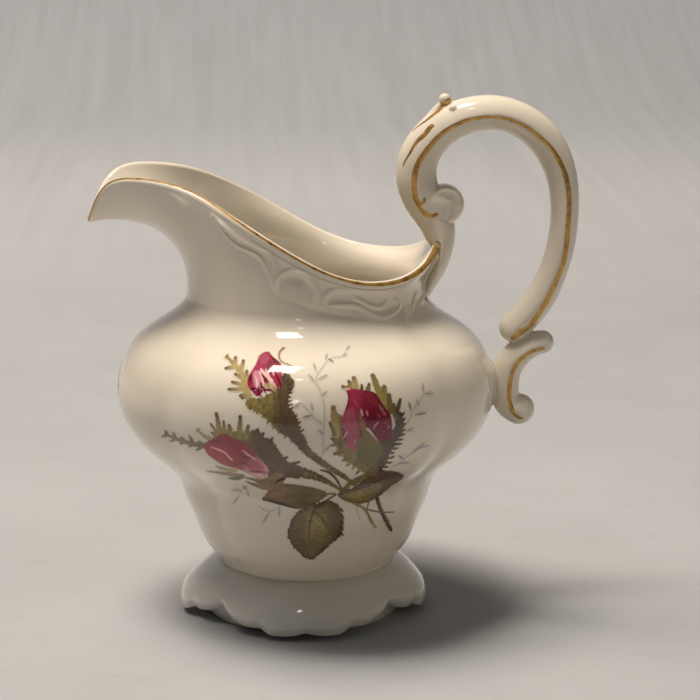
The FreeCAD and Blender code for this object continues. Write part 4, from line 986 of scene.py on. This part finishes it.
def paint_second_bud(art):
    def petals(places, depth):
        turned = smooth_step(3.4, 7.2, places[:, 0] + 1.4 * (mottle(places, 0.6, 111) - 0.5))
        return blend(blend(ROSE, CRIMSON, smooth_step(15.0, 21.0, places[:, 1])), DEEP_RED, turned)

    art.fill(((-2.2, 12.6), (-1.8, 16.6), (-1.2, 19.2), (1.0, 18.0), (4.0, 10.0), (9.5, 12.5), (12.6, 14.6),
              (13.2, 18.4), (12.2, 21.0), (13.4, 20.6), (15.2, 19.4), (15.8, 17.0), (15.2, 14.4),
              (13.4, 11.6), (12.2, 8.8), (10.8, 6.0), (8.8, 3.6), (6.2, 4.4), (3.6, 5.8), (1.2, 7.6),
              (-0.4, 10.0)),
             lambda places, depth: moss(places, 5.5, 10.5, (0.10, 0.075, 0.055), 101), ragged=0.5)
    art.barbs(((8.8, 4.2), (11.6, 7.4), (13.4, 11.4), (15.4, 15.2), (15.0, 19.4)), 1.2, 13,
              (DARK_BROWN, BROWN), sides=(-1,), lean=0.7, width=0.6, seed=102)
    art.barbs(((-2.0, 14.0), (-1.4, 11.6), (0.2, 9.2), (2.4, 6.4), (6.2, 4.2)), 1.2, 9,
              (OLIVE, YELLOW_OLIVE, BROWN), sides=(-1,), lean=-0.3, width=0.6, seed=103)
    for root, tip, width, base in (
        ((-1.2, 14.0), (-1.9, 20.8), 2.0, TAN), ((-1.6, 14.0), (-2.8, 17.0), 0.9, OLIVE),
        ((0.4, 9.8), (-1.6, 9.2), 1.0, OLIVE), ((2.8, 25.2), (0.4, 26.1), 1.2, YELLOW_OLIVE),
        ((2.8, 25.2), (2.0, 27.3), 1.4, YELLOW_OLIVE), ((3.8, 25.4), (3.2, 28.2), 1.6, TAN),
        ((5.2, 25.0), (5.2, 26.4), 0.9, BROWN), ((6.6, 24.6), (7.0, 26.6), 1.2, OLIVE),
        ((10.6, 21.8), (8.0, 28.8), 1.8, YELLOW_OLIVE), ((11.0, 21.6), (10.8, 26.0), 1.6, YELLOW_OLIVE),
        ((12.2, 19.8), (12.0, 24.0), 1.5, OLIVE), ((13.6, 18.6), (13.2, 21.6), 1.2, OLIVE),
        ((14.0, 19.8), (14.8, 22.9), 1.1, BROWN), ((12.8, 11.4), (14.4, 11.9), 0.8, DARK_BROWN),
    ):
        art.stroke((root, tip), (width, width, width * 0.7), fading(base, BROWN, 2, 0.7), ragged=0.3)
    art.fill(((1.3, 25.3), (3.0, 25.6), (5.8, 25.2), (8.4, 24.6), (10.2, 22.0), (12.2, 19.4), (12.8, 16.4),
              (12.0, 13.0), (10.6, 12.2), (8.2, 14.0), (6.3, 15.8), (5.2, 14.0), (4.6, 12.4), (3.8, 10.2),
              (2.4, 10.4), (0.5, 13.6), (0.2, 16.2), (0.6, 19.2), (1.7, 22.2), (1.7, 23.8)),
             petals)
    art.fill(((1.0, 19.6), (2.4, 20.6), (3.8, 18.0), (3.6, 14.8), (1.6, 14.4), (0.6, 16.6)),
             (0.44, 0.11, 0.15), strength=0.8, soft=0.6)
    art.fill(((6.4, 24.6), (8.4, 24.2), (10.0, 21.8), (8.2, 21.4), (6.6, 22.6)), (0.26, 0.03, 0.04),
             strength=0.7, soft=0.5)
    art.strokes((((9.8, 21.0), (10.6, 20.4)), ((10.4, 19.4), (11.2, 18.8)), ((9.2, 19.0), (9.9, 18.2)),
                 ((10.8, 17.0), (11.8, 16.6)), ((2.2, 18.6), (2.6, 16.4)), ((3.2, 22.6), (4.4, 21.0))),
                (0.3, 0.4, 0.2), ROSE, soft=0.2, strength=0.8)
    art.stroke(((5.0, 19.4), (6.4, 18.4), (8.2, 18.0), (10.6, 16.4)), (0.3, 0.6, 0.3), DARK_RED, soft=0.2,
               strength=0.6)
    art.fill(((5.0, 19.4), (5.6, 18.0), (7.0, 14.6), (10.0, 12.0), (9.6, 8.0), (4.6, 7.4), (3.8, 10.6),
              (4.8, 14.4)),
             lambda places, depth: blend(blend(RUSSET, OLIVE, mottle(places, 0.6, 113)), GREEN_OLIVE,
                                         1 - smooth_step(9.0, 14.0, places[:, 1])), soft=0.35, ragged=0.5)
    for line, colour in (
        (((5.2, 20.6), (5.6, 18.2)), DARK_RED), (((1.8, 25.0), (1.9, 22.6), (1.2, 20.4)), DARK_RED),
        (((0.5, 15.6), (0.8, 13.8), (1.3, 12.4)), DARK_RED),
        (((8.0, 24.6), (9.4, 22.6), (10.8, 20.6)), DARK_RED), (((4.9, 15.2), (5.2, 13.6)), DARK_RED),
        (((0.8, 13.4), (1.6, 14.8)), PALE_PINK), (((8.0, 15.4), (8.8, 16.6), (9.4, 17.2)), PINK),
        (((5.0, 20.4), (5.4, 18.8)), PALE_PINK), (((6.4, 20.0), (6.7, 18.8)), PINK),
        (((11.8, 15.8), (12.1, 16.2)), PINK), (((3.8, 13.0), (3.2, 11.6)), PINK),
        (((2.2, 25.4), (1.0, 25.6)), PALE_PINK), (((9.6, 21.4), (10.4, 20.0), (11.2, 19.2)), RUSSET),
    ):
        art.stroke(line, (0.25, 0.5, 0.3), colour, strength=0.8)


def paint_spray(art):
    """The spray of three moss-rose buds, drawn about the point where its stems cross."""
    paint_sprigs(art)
    paint_stems(art)
    paint_leaves(art)
    paint_first_bud(art)
    paint_third_bud(art)
    paint_second_bud(art)


def paint_small_sprig(art):
    """The small sprig under the spout: one bud and a few leaves."""
    art.stroke(((0.4, -5.6), (0.0, -2.0), (-0.4, 1.6)), (0.5, 0.8, 1.2), OLIVE, ragged=0.4)
    art.feather(((0.2, -4.2), (-2.4, -2.8), (-4.6, -0.6)), (1.4, 1.2, 0.3), YELLOW_OLIVE, BROWN, 1.1, 5, 31)
    art.feather(((0.0, -2.6), (2.4, -1.2), (4.2, 1.4)), (1.4, 1.2, 0.3), OLIVE, BROWN, 1.1, 5, 32)
    art.fill(((-2.2, 2.0), (-1.6, 4.8), (-0.2, 6.2), (1.2, 4.6), (1.4, 2.2), (-0.2, 0.8)), CRIMSON)
    art.fill(((-2.4, 2.6), (-0.4, 2.2), (1.6, 2.6), (0.8, 0.4), (-0.4, -0.6), (-1.8, 0.4)), OLIVE, ragged=0.5)
    art.stroke(((-0.8, 5.2), (-0.9, 3.0)), (0.3, 0.5), PINK)
    art.barbs(((-1.8, 0.6), (-2.2, 2.4), (-1.6, 4.4)), 0.8, 5, (OLIVE, BROWN), sides=(1,), seed=33)


PRINT_LIFT = 0.055
SPRAY_CENTRE = (-2.5, -35.2)


def printed_sheet(name, bearings, levels, drawing, paint, node, half_turn=False):
    """A printed patch that lies on the glaze and keeps only the faces that carry enamel."""
    bearing, level = np.meshgrid(bearings, levels)
    points = body.wall(bearing, level, PRINT_LIFT)
    art = Painting(drawing(points.reshape(-1, 3)))
    paint(art)
    flat = points.reshape(-1, 3)
    if half_turn:
        flat = (flat - (AXIS_SHIFT, 0, 0)) * (-1, -1, 1) + (AXIS_SHIFT, 0, 0)
    faces = grid_faces(len(levels), len(bearings), False)
    faces = faces[art.cover[faces].max(axis=1) > 0.01]
    used, compact = np.unique(faces, return_inverse=True)
    piece = new_piece(name, flat[used], compact.reshape(faces.shape).tolist(), printed)
    paint_layer = piece.data.attributes.new("paint", "FLOAT_COLOR", "POINT")
    values = np.column_stack([art.colour[used], art.cover[used]]).astype(np.float32)
    paint_layer.data.foreach_set("color", values.ravel())
    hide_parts(node)
    return piece


def make_prints():
    def spray_drawing(points):
        return front_view(points) - SPRAY_CENTRE

    def spout_drawing(points):
        return np.column_stack([-points[:, 1], points[:, 2] - 57.5])

    bearings = np.arange(212.0, 322.0, 0.17)
    levels = np.arange(0.07, 0.93, 0.0019)
    for side, turned in (("front", False), ("back", True)):
        node = f"{side}_spray_transfer"
        printed_sheet(f"{side}_spray_print", bearings, levels, spray_drawing, paint_spray, node, turned)
    printed_sheet("spout_sprig_print", np.arange(170.0, 190.0, 0.2), np.arange(0.5, 0.8, 0.003),
                  spout_drawing, paint_small_sprig, "spout_sprig_transfer")


# ---------------------------------------------------------------- the castings

HANDLE_SIDE = 22.0


def fillet_height(points, solid, spread):
    """How far the wall swells to run smoothly into a joined casting, except under the neck strap's end."""
    tree = surface_tree(solid)
    most = 0.8 * spread
    height = np.zeros(len(points))
    for i in np.nonzero(points[:, 0] > HANDLE_SIDE)[0]:
        found, normal, _, gap = tree.find_nearest(Vector(points[i]), spread)
        if found is not None:
            inside = (Vector(points[i]) - found).dot(normal) < 0
            height[i] = most if inside else (math.sqrt(spread) - math.sqrt(gap)) ** 2
    under_strap = smooth_step(70, 73, points[:, 2]) * (1 - smooth_step(80, 86, points[:, 2]))
    return np.minimum(height, most) * (1 - under_strap)


HANDLE_FILLET = 2.8
JOINT_SWELL = 0.9
JOINT_REACH = 1.2


def make_body(handle):
    """The bowl, neck and spout: outer wall, rolled lip, inner wall and floor in one skin."""
    columns = 900
    bearing = np.linspace(0, 360, columns, endpoint=False)
    relief = Relief()
    levels = np.concatenate([np.linspace(0, 1, 190), np.linspace(1, 2, 150)[1:]])
    outer = np.array([body.wall(bearing, np.full(columns, level)) for level in levels]).reshape(-1, 3)
    normals = np.array([body.slope(bearing, np.full(columns, level))[1] for level in levels]).reshape(-1, 3)
    fade = np.repeat(1 - smooth_step(1.88, 1.985, levels), columns)
    height = relief.height(outer, normals) * fade + fillet_height(outer, handle.data, HANDLE_FILLET) * fade
    height += JOINT_SWELL * np.exp(-(outer[:, 2] - BODY_BASE) / JOINT_REACH)
    rows = list((outer + normals * height[:, None]).reshape(len(levels), columns, 3))
    for turn in np.linspace(0, 180, 17)[1:-1]:
        rows.append(body.lip(bearing, np.full(columns, turn)))
    for level in np.linspace(2, 1, 60):
        rows.append(body.inner(bearing, np.full(columns, level)))
    for level in np.linspace(1, 0.13, 90)[1:]:
        rows.append(body.inner(bearing, np.full(columns, level)))
    edge = rows[-1]
    radial = edge[:, :2] - (AXIS_SHIFT, 0)
    for turn in np.radians(np.linspace(0, 89, 26))[1:]:
        flat = radial * math.cos(turn) + (AXIS_SHIFT, 0)
        height = FLOOR_HEIGHT + (edge[:, 2] - FLOOR_HEIGHT) * (1 - math.sin(turn))
        rows.append(np.column_stack([flat, height]))
    grid = np.array(rows)
    faces = capped_faces(len(rows), columns)
    piece = new_piece("body_casting", grid.reshape(-1, 3), faces, porcelain)
    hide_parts("bowl", "neck_and_spout")
    return piece


FOOT_FLARE = ((0.672, 12.6), (0.785, 11.3), (0.880, 9.0), (0.958, 6.4), (0.990, 4.6), (1.0, 3.0),
              (0.992, 1.2))


def foot_flare(bearing, level):
    """Radius and height of the pedestal's outer skin.

    A deep cusp parts the four lobes. Each lobe's edge has a small notch in its middle and a step on each
    side. The top swells a little to meet the bowl.
    """
    outline = Spline(np.arange(len(FOOT_FLARE)), [(share * FOOT_REACH, z) for share, z in FOOT_FLARE])
    at = outline(level)
    down = (1.0 - at[..., 1] / FOOT_HEIGHT).clip(0)
    low = down**1.6
    cusp = sum(soft_peak(bearing_gap(bearing, crease), 11.0, 1.6) for crease in CREASES)
    middle = sum(soft_peak(bearing_gap(bearing, lobe), 3.4, 2.4) for lobe in LOBES)
    from_middle = np.min([bearing_gap(bearing, lobe) for lobe in LOBES], axis=0)
    step = smooth_step(15, 23, from_middle)
    hollow = soft_peak(np.abs(from_middle - 22.0), 3.0, 2.0)
    neck_crease = 0.2 * CREASE_DEPTH * creases_at(bearing) * (1 - low)
    joint = 1.1 * np.exp(-(FOOT_HEIGHT - at[..., 1]) / 1.1)
    radius = at[..., 0] - 4.6 * cusp * down**1.1 - (0.9 * middle + 1.0 * step + 0.5 * hollow) * low
    lift = (3.2 * cusp + 0.9 * middle + 0.8 * step + 0.5 * hollow) * low
    return radius - neck_crease + joint, at[..., 1] + lift


def make_foot():
    """The scalloped pedestal, its turned-under edge, resting ring and hollow."""
    columns = 720
    bearing = np.linspace(0, 360, columns, endpoint=False)
    turn = np.radians(bearing)
    last = len(FOOT_FLARE) - 1.0
    rings = [foot_flare(bearing, np.full(columns, level)) for level in np.linspace(0, last, 60)]
    edge_radius, edge_height = rings[-1]
    for share in np.linspace(1, 0, 22)[1:]:
        radius = REST_OUTER + (edge_radius - REST_OUTER) * share
        height = edge_height * share + 3.4 * share * (1 - share) ** 0.5
        rings.append((radius, height if share > 0 else np.zeros(columns)))
    outer_rows = len(rings)
    bore = Spline([0, 2.6, 7.0, 10.6, FOOT_HEIGHT], [(0.0,), (0.10,), (0.42,), (0.78,), (1.0,)])
    rings.append((np.full(columns, REST_INNER), np.zeros(columns)))
    for height in np.linspace(0, FOOT_HEIGHT, 24)[1:]:
        share = bore(np.full(columns, height))[:, 0]
        rings.append((REST_INNER + (FOOT_BORE_TOP - REST_INNER) * share, np.full(columns, height)))
    rows = []
    for radius, height in rings:
        shift = AXIS_SHIFT * height / FOOT_HEIGHT
        rows.append(np.stack([shift + radius * np.cos(turn), radius * np.sin(turn), height + 0 * radius], -1))
    grid = np.array(rows)
    faces = grid_faces(len(rows), columns, True).tolist()
    last_row = (len(rows) - 1) * columns
    faces += [[i, last_row + i, last_row + (i + 1) % columns, (i + 1) % columns] for i in range(columns)]
    # The foot gets the glaze copy that carries the painted cool reflection.
    piece = new_piece("foot_casting", grid.reshape(-1, 3), faces, foot_porcelain_painted_reflection)
    piece.data.materials.append(bisque)
    marks = np.zeros(len(piece.data.polygons), np.int32)
    marks[(outer_rows - 1) * columns:outer_rows * columns] = 1
    piece.data.polygons.foreach_set("material_index", marks)
    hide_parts("foot")
    return piece


def turned_boss(centre, outline, columns=72):
    """A round boss turned about the Y axis from (radius, y) points, closed on both sides."""
    curve = line_spline(outline)(np.linspace(0, 1, 40))
    half = curve[curve[:, 1] >= 0]
    full = np.vstack([half, half[::-1] * (1, -1)])
    turn = np.linspace(0, 2 * math.pi, columns, endpoint=False)
    rows = [
        np.stack([centre[0] + r * np.cos(turn), np.full(columns, y), centre[1] + r * np.sin(turn)], -1)
        for r, y in full
    ]
    return np.array(rows).reshape(-1, 3), capped_faces(len(rows), columns)


def ball(centre, radius, count=24):
    """A small round bead."""
    latitudes = np.radians(np.linspace(-85, 85, count))
    outline = np.column_stack([radius * np.cos(latitudes), radius * np.sin(latitudes)])
    turn = np.linspace(0, 2 * math.pi, count * 2, endpoint=False)
    rows = [
        np.stack([centre[0] + r * np.cos(turn), centre[1] + r * np.sin(turn),
                  np.full(len(turn), centre[2] + z)], -1)
        for r, z in outline
    ]
    return np.array(rows).reshape(-1, 3), capped_faces(len(rows), count * 2)


def cane(points, radii, columns=20):
    """A tapering round rod along a curve in space, with its end faces closed."""
    curve = line_spline(points)
    at = np.linspace(0, 1, 16 * len(points))
    radius = Spline(np.linspace(0, 1, len(radii)), [(r,) for r in radii])(at)[:, 0]
    centre = curve(at)
    direction = unit(np.gradient(centre, axis=0))
    side = unit(np.cross(direction, np.array([0.13, 1.0, 0.21])))
    other = np.cross(direction, side)
    turn = np.linspace(0, 2 * math.pi, columns, endpoint=False)
    ring = side[:, None] * np.cos(turn)[None, :, None] + other[:, None] * np.sin(turn)[None, :, None]
    grid = centre[:, None] + ring * radius[:, None, None]
    return grid.reshape(-1, 3), capped_faces(len(at), columns)


def blended(name, solids, voxel, smoothing):
    """One soft-edged mesh from overlapping solids, with rounded inner corners."""
    vertices, faces = [], []
    for points, quads in solids:
        start = sum(len(block) for block in vertices)
        vertices.append(points)
        faces += [[start + i for i in face] for face in quads]
    mesh = bpy.data.meshes.new(name + "_raw")
    mesh.from_pydata((np.vstack(vertices) * MM).tolist(), [], faces)
    raw = bpy.data.objects.new(name + "_raw", mesh)
    bpy.context.scene.collection.objects.link(raw)
    remesh = raw.modifiers.new("remesh", "REMESH")
    remesh.mode = "VOXEL"
    remesh.voxel_size = voxel * MM
    soften = raw.modifiers.new("soften", "SMOOTH")
    soften.factor = 0.5
    soften.iterations = smoothing
    graph = bpy.context.evaluated_depsgraph_get()
    done = bpy.data.meshes.new_from_object(raw.evaluated_get(graph))
    bpy.data.objects.remove(raw)
    return done


def make_handle():
    """The scroll handle in one casting: loop, volute, thumb sprig and lower scroll."""
    volute = turned_boss((35.6, 102.8), [(0.2, 4.5), (1.3, 4.2), (2.1, 3.75), (2.8, 3.9), (3.6, 4.0),
                                         (4.3, 3.2), (4.8, 1.8), (4.85, 0.0)])
    swell = turned_boss((33.0, 101.8), [(0.2, 5.0), (2.4, 4.8), (4.1, 3.6), (4.8, 1.8), (4.9, 0.0)])
    solids = [loop.bar(), scroll.bar(), volute, swell]
    solids.append(cane([(27.6, 0, 116.6), (30.0, 0, 121.4), (32.8, 0, 125.2), (35.3, 0, 128.2)],
                       [0.5, 1.3, 1.25, 0.9]))
    solids.append(ball((35.5, 0.0, 128.7), 1.55))
    for side in (-1, 1):
        solids.append(ball((37.3, side * 2.6, 126.8), 0.95))
    piece = shown_piece("handle_casting", blended("handle", solids, 0.22, 7), porcelain)
    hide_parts("handle")
    return piece


# ---------------------------------------------------------------- brushed gold lines

LOOP_GOLD = (
    (40.2, 2.6), (41.8, 4.0), (44.0, 5.4), (46.2, 8.0), (48.4, 11.4), (50.9, 16.4), (53.3, 22.5),
    (54.0, 27.5), (54.4, 32.5), (54.6, 37.5), (54.2, 41.2), (53.2, 45.0), (51.7, 48.0), (49.8, 50.8),
    (47.2, 53.2), (44.0, 55.7), (40.2, 57.4), (36.2, 58.2), (32.5, 58.1), (29.0, 57.4), (25.5, 55.9),
    (22.5, 53.9), (19.8, 51.0), (17.6, 48.0), (16.2, 45.0), (15.8, 41.8), (16.0, 38.8), (17.0, 36.0),
    (18.5, 34.2), (20.2, 33.5), (21.8, 34.2),
)
LOOP_WIDTHS = (1.7, 1.9, 1.6, 1.6, 1.5, 1.5, 1.4, 1.1, 0.9, 0.9, 1.1, 1.3, 1.5, 1.4, 0.8)
LOOP_HOOK = ((16.6, 38.0), (17.4, 36.6), (18.0, 36.9), (18.4, 38.2))
LOOP_SPUR = ((43.6, 5.2), (42.6, 5.0), (41.4, 4.6))
LEAF_LINES = (
    ((20.8, 56.4), (19.8, 55.7), (18.5, 54.0), (17.0, 52.7), (15.5, 50.7), (14.4, 48.7), (13.3, 46.8),
     (13.0, 45.9)),
    ((25.5, 62.9), (24.2, 62.2), (23.0, 61.0), (21.8, 59.8), (20.0, 58.4), (18.5, 57.2), (16.8, 56.0),
     (15.4, 54.7)),
)
LEAF_WIDTHS = (1.1, 1.3, 1.1, 0.8, 0.6, 0.35)
SCROLL_GOLD = (
    (48.5, 0.5), (47.0, 0.2), (45.2, -0.4), (43.5, -1.5), (41.8, -3.0), (40.6, -5.0), (39.9, -7.5),
    (39.6, -10.0), (39.6, -12.5), (40.1, -14.5), (41.0, -16.0), (42.2, -16.9), (43.2, -17.1),
)
SCROLL_WIDTHS = (1.2, 1.3, 1.2, 1.3, 1.3, 1.2, 0.7)
ROOT_GOLD = ((18.0, 20.4), (19.6, 22.6), (21.0, 25.0), (22.0, 27.2))
ROOT_WIDTHS = (1.0, 1.5, 1.9, 2.0)
GOLD_LIFT = 0.05


def surface_tree(mesh):
    return BVHTree.FromPolygons([v.co / MM for v in mesh.vertices],
                                [tuple(p.vertices) for p in mesh.polygons])


def gold_ribbon(tree, drawn, widths, seed):
    """Points and faces of one brushed line that lies on a surface, with rounded ends."""
    chance = np.random.default_rng(seed)
    curve = line_spline(drawn)
    count = 14 * len(drawn)
    points, normals = trace(tree, curve(np.linspace(0, 1, count)))
    along = np.concatenate([[0], np.cumsum(np.linalg.norm(np.diff(points, axis=0), axis=1))])
    share = along / along[-1]
    half = np.interp(share, np.linspace(0, 1, len(widths)), widths) / 2
    knots = np.arange(0, along[-1] + 2, 1.1)
    waver = np.interp(along, knots, chance.normal(0, 0.05, len(knots)))
    to_end = np.clip(np.minimum(along, along[-1] - along) / half, 0, 1)
    half = half * (1 + waver) * np.sqrt(np.clip(1 - (1 - to_end) ** 2, 0.01, 1))
    direction = unit(np.gradient(points, axis=0))
    side = unit(np.cross(normals, direction))
    across = np.linspace(-1, 1, 7)
    rows = []
    for point, normal, aside, reach in zip(points, normals, side, half):
        for step in across:
            near, face_normal = tree.find_nearest(Vector(point + aside * step * reach))[:2]
            if face_normal.dot(Vector(normal)) < 0:
                face_normal = -face_normal
            lift = 0.012 + GOLD_LIFT * math.sqrt(1 - step * step)
            rows.append(np.array(near) + np.array(face_normal) * lift)
    return np.array(rows), grid_faces(len(points), len(across), False)


def gold_pieces(name, ribbons, node=None):
    """The same lines on the near and far side of the jug."""
    for side, flip in (("front", 1), ("back", -1)):
        vertices, faces = [], []
        for points, quads in ribbons:
            faces += (quads[:, ::flip] + sum(len(block) for block in vertices)).tolist()
            vertices.append(points * (1, flip, 1))
        piece = new_piece(f"{name}_{side}", np.vstack(vertices), faces, gold)
        if node:
            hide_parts(f"{node}_{side}")


# Where the band runs on the lip, as (bearing, middle turn, half its spread), mirrored on the far side.
RIM_BAND = ((180.0, 62.0, 22.0), (205.0, 80.0, 17.0), (245.0, 76.0, 18.0), (285.0, 66.0, 21.0),
            (320.0, 56.0, 33.0), (340.0, 48.0, 42.0), (360.0, 42.0, 48.0))


def make_rim_band():
    """The gold band on the lip, wider towards the handle."""
    columns, steps = 1080, 9
    bearing = np.linspace(0, 360, columns, endpoint=False)
    folded = 180 + bearing_gap(bearing, 180)
    at, middle, spread = np.array(RIM_BAND).T
    waver = 1 + 0.05 * np.sin(bearing * 0.37) + 0.04 * np.sin(bearing * 0.91)
    rows = []
    for share in np.linspace(-1, 1, steps):
        turn = np.interp(folded, at, middle) + np.interp(folded, at, spread) * waver * share
        rows.append(body.lip(bearing, turn, 0.012 + GOLD_LIFT * math.sqrt(1 - share * share)))
    grid = np.array(rows).reshape(-1, 3)
    piece = new_piece("rim_gold_band", grid, grid_faces(steps, columns, True).tolist(), gold)
    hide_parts("rim_gilding")


def make_gold(handle, wall):
    make_rim_band()
    tree = surface_tree(handle.data)
    loop_lines = ((LOOP_GOLD, LOOP_WIDTHS), (LOOP_HOOK, (0.7, 0.9, 0.6)), (LOOP_SPUR, (1.0, 0.9, 0.6)))
    gold_pieces("loop_line", [gold_ribbon(tree, line, widths, 40) for line, widths in loop_lines],
                "handle_gilding")
    gold_pieces("leaf_lines", [gold_ribbon(tree, line, LEAF_WIDTHS, 50) for line in LEAF_LINES],
                "leaf_gilding")
    gold_pieces("scroll_line", [gold_ribbon(tree, SCROLL_GOLD, SCROLL_WIDTHS, 60)], "scroll_gilding")
    both = bpy.data.meshes.new("handle_and_body")
    both.from_pydata([tuple(v.co) for data in (handle.data, wall.data) for v in data.vertices], [],
                     [tuple(p.vertices) for p in handle.data.polygons]
                     + [tuple(i + len(handle.data.vertices) for i in p.vertices) for p in wall.data.polygons])
    gold_pieces("rim_gold_root", [gold_ribbon(surface_tree(both), ROOT_GOLD, ROOT_WIDTHS, 70)])
    bpy.data.meshes.remove(both)


# ---------------------------------------------------------------- stage, light and camera

STAGE_HALF = 8.0
WALL_START = 0.90
WALL_RADIUS = 0.60
WALL_TOP = 2.6


def make_stage():
    """A pale paper sweep: a wide flat floor that curves up into a wall well behind the jug."""
    profile = [(-STAGE_HALF, 0.0), (-0.6, 0.0), (0.0, 0.0)]
    for turn in np.radians(np.linspace(0, 90, 25)):
        profile.append((WALL_START + WALL_RADIUS * math.sin(turn), WALL_RADIUS * (1 - math.cos(turn))))
    profile.append((WALL_START + WALL_RADIUS, WALL_TOP))
    vertices = [(x, y, z) for y, z in profile for x in (-STAGE_HALF, STAGE_HALF)]
    mesh = bpy.data.meshes.new("paper_sweep")
    mesh.from_pydata(vertices, [], grid_faces(len(profile), 2, False)[:, ::-1].tolist())
    mesh.polygons.foreach_set("use_smooth", np.ones(len(mesh.polygons), bool))
    floor = bpy.data.objects.new("paper_sweep", mesh)
    bpy.context.scene.collection.objects.link(floor)
    mesh.materials.append(paper_material("pale_paper"))


PANEL_DISTANCE = 1.25
PANEL_COLOUR = (1.0, 0.955, 0.89)
# Panels as (name, point of the front drawing, size, power, whether the glaze mirrors it there).
SEEN_PANELS = (
    ("far_panel", (-16.7, -4.9), (0.25, 0.25), 3.3, True),
    ("panel_spill", (-16.7, -4.9), (0.4, 0.4), 2.7, False),
    ("small_lamp", (-12.8, 5.5), (0.07, 0.07), 0.15, True),
    ("low_lamp", (-14.0, -12.8), (0.12, 0.08), 0.2, True),
)
# Wide soft lamps that the glaze doesn't mirror, as (name, place, size, power, colour).
SOFT_LAMPS = (
    ("soft_ceiling", (-0.38, 0.14, 1.6), (0.85, 0.75), 32.0, (1.0, 0.87, 0.74)),
    ("left_bounce", (-0.9, 0.0, 1.3), (0.7, 0.7), 2.4, (1.0, 0.92, 0.95)),
    ("front_bounce", (-0.2, -0.9, 1.4), (0.8, 0.6), 0.5, (0.85, 0.93, 0.92)),
    ("right_bounce", (1.4, -0.2, 0.45), (0.7, 0.7), 2.4, (1.0, 0.83, 0.66)),
)
LAMP_AIM = (0.0, 0.0, 0.06)
ROOM_STRENGTH = 0.07
ROOM_LOW = (0.20, 0.21, 0.23, 1.0)
ROOM_HIGH = (0.90, 0.90, 0.88, 1.0)


def area_light(name, place, aim, size, power, colour):
    light = bpy.data.lights.new(name, "AREA")
    light.shape = "RECTANGLE"
    light.size, light.size_y = size
    light.energy = power
    light.color = colour
    lamp = bpy.data.objects.new(name, light)
    lamp.location = place
    lamp.rotation_mode = "QUATERNION"
    lamp.rotation_quaternion = (Vector(aim) - Vector(place)).to_track_quat("-Z", "Y")
    bpy.context.scene.collection.objects.link(lamp)
    return lamp


def panel_seen_at(name, drawn, size, power):
    """A panel, set cornerwise, whose reflection in the glaze falls on a point of the front drawing."""
    points, normals = trace(wall_tree, [drawn])
    ray = unit(points[0] - VIEW_EYE)
    mirrored = ray - 2 * (ray @ normals[0]) * normals[0]
    aim = points[0] * MM
    lamp = area_light(name, aim + mirrored * PANEL_DISTANCE, aim, size, power, PANEL_COLOUR)
    lamp.rotation_quaternion = lamp.rotation_quaternion @ Quaternion((0.0, 0.0, 1.0), math.pi / 4)
    return lamp


def make_light():
    world = bpy.data.worlds.new("soft_room")
    world.use_nodes = True
    tree = world.node_tree
    background = tree.nodes["Background"]
    background.inputs["Strength"].default_value = ROOM_STRENGTH
    direction = tree.nodes.new("ShaderNodeTexCoord")
    parts = tree.nodes.new("ShaderNodeSeparateXYZ")
    tree.links.new(direction.outputs["Generated"], parts.inputs["Vector"])
    shade = tree.nodes.new("ShaderNodeValToRGB")
    low, high = shade.color_ramp.elements
    low.color = ROOM_LOW
    high.color = ROOM_HIGH
    high.position = 0.75
    tree.links.new(parts.outputs["Z"], shade.inputs["Fac"])
    tree.links.new(shade.outputs["Color"], background.inputs["Color"])
    bpy.context.scene.world = world
    for name, drawn, size, power, mirrored in SEEN_PANELS:
        panel_seen_at(name, drawn, size, power).visible_glossy = mirrored
    for name, place, size, power, colour in SOFT_LAMPS:
        area_light(name, place, LAMP_AIM, size, power, colour).visible_glossy = False


SENSOR_WIDTH = 36.0
LENS = 133.7
# Where the camera aims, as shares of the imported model's width and height.
AIM_SHARES = (0.533, 0.506)


def make_camera():
    span = packed_high - packed_low
    target = Vector((packed_low.x + AIM_SHARES[0] * span.x, 0.0, packed_low.z + AIM_SHARES[1] * span.z))
    data = bpy.data.cameras.new("camera")
    data.sensor_width = SENSOR_WIDTH
    data.lens = LENS
    data.clip_start = 0.05
    camera = bpy.data.objects.new("camera", data)
    back = Vector(VIEW_BACK)
    camera.location = target + back * (VIEW_DISTANCE * MM)
    camera.rotation_mode = "QUATERNION"
    camera.rotation_quaternion = (-back).to_track_quat("-Z", "Y")
    bpy.context.scene.collection.objects.link(camera)
    bpy.context.scene.camera = camera


bpy.context.scene.view_settings.view_transform = "Standard"
make_stage()
make_light()
make_camera()
handle_piece = make_handle()
body_piece = make_body(handle_piece)
make_foot()
make_gold(handle_piece, body_piece)
make_prints()
for name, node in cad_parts.items():
    finish = gold if "gilding" in name else printed if "transfer" in name else porcelain
    node.data.materials.clear()
    node.data.materials.append(finish)
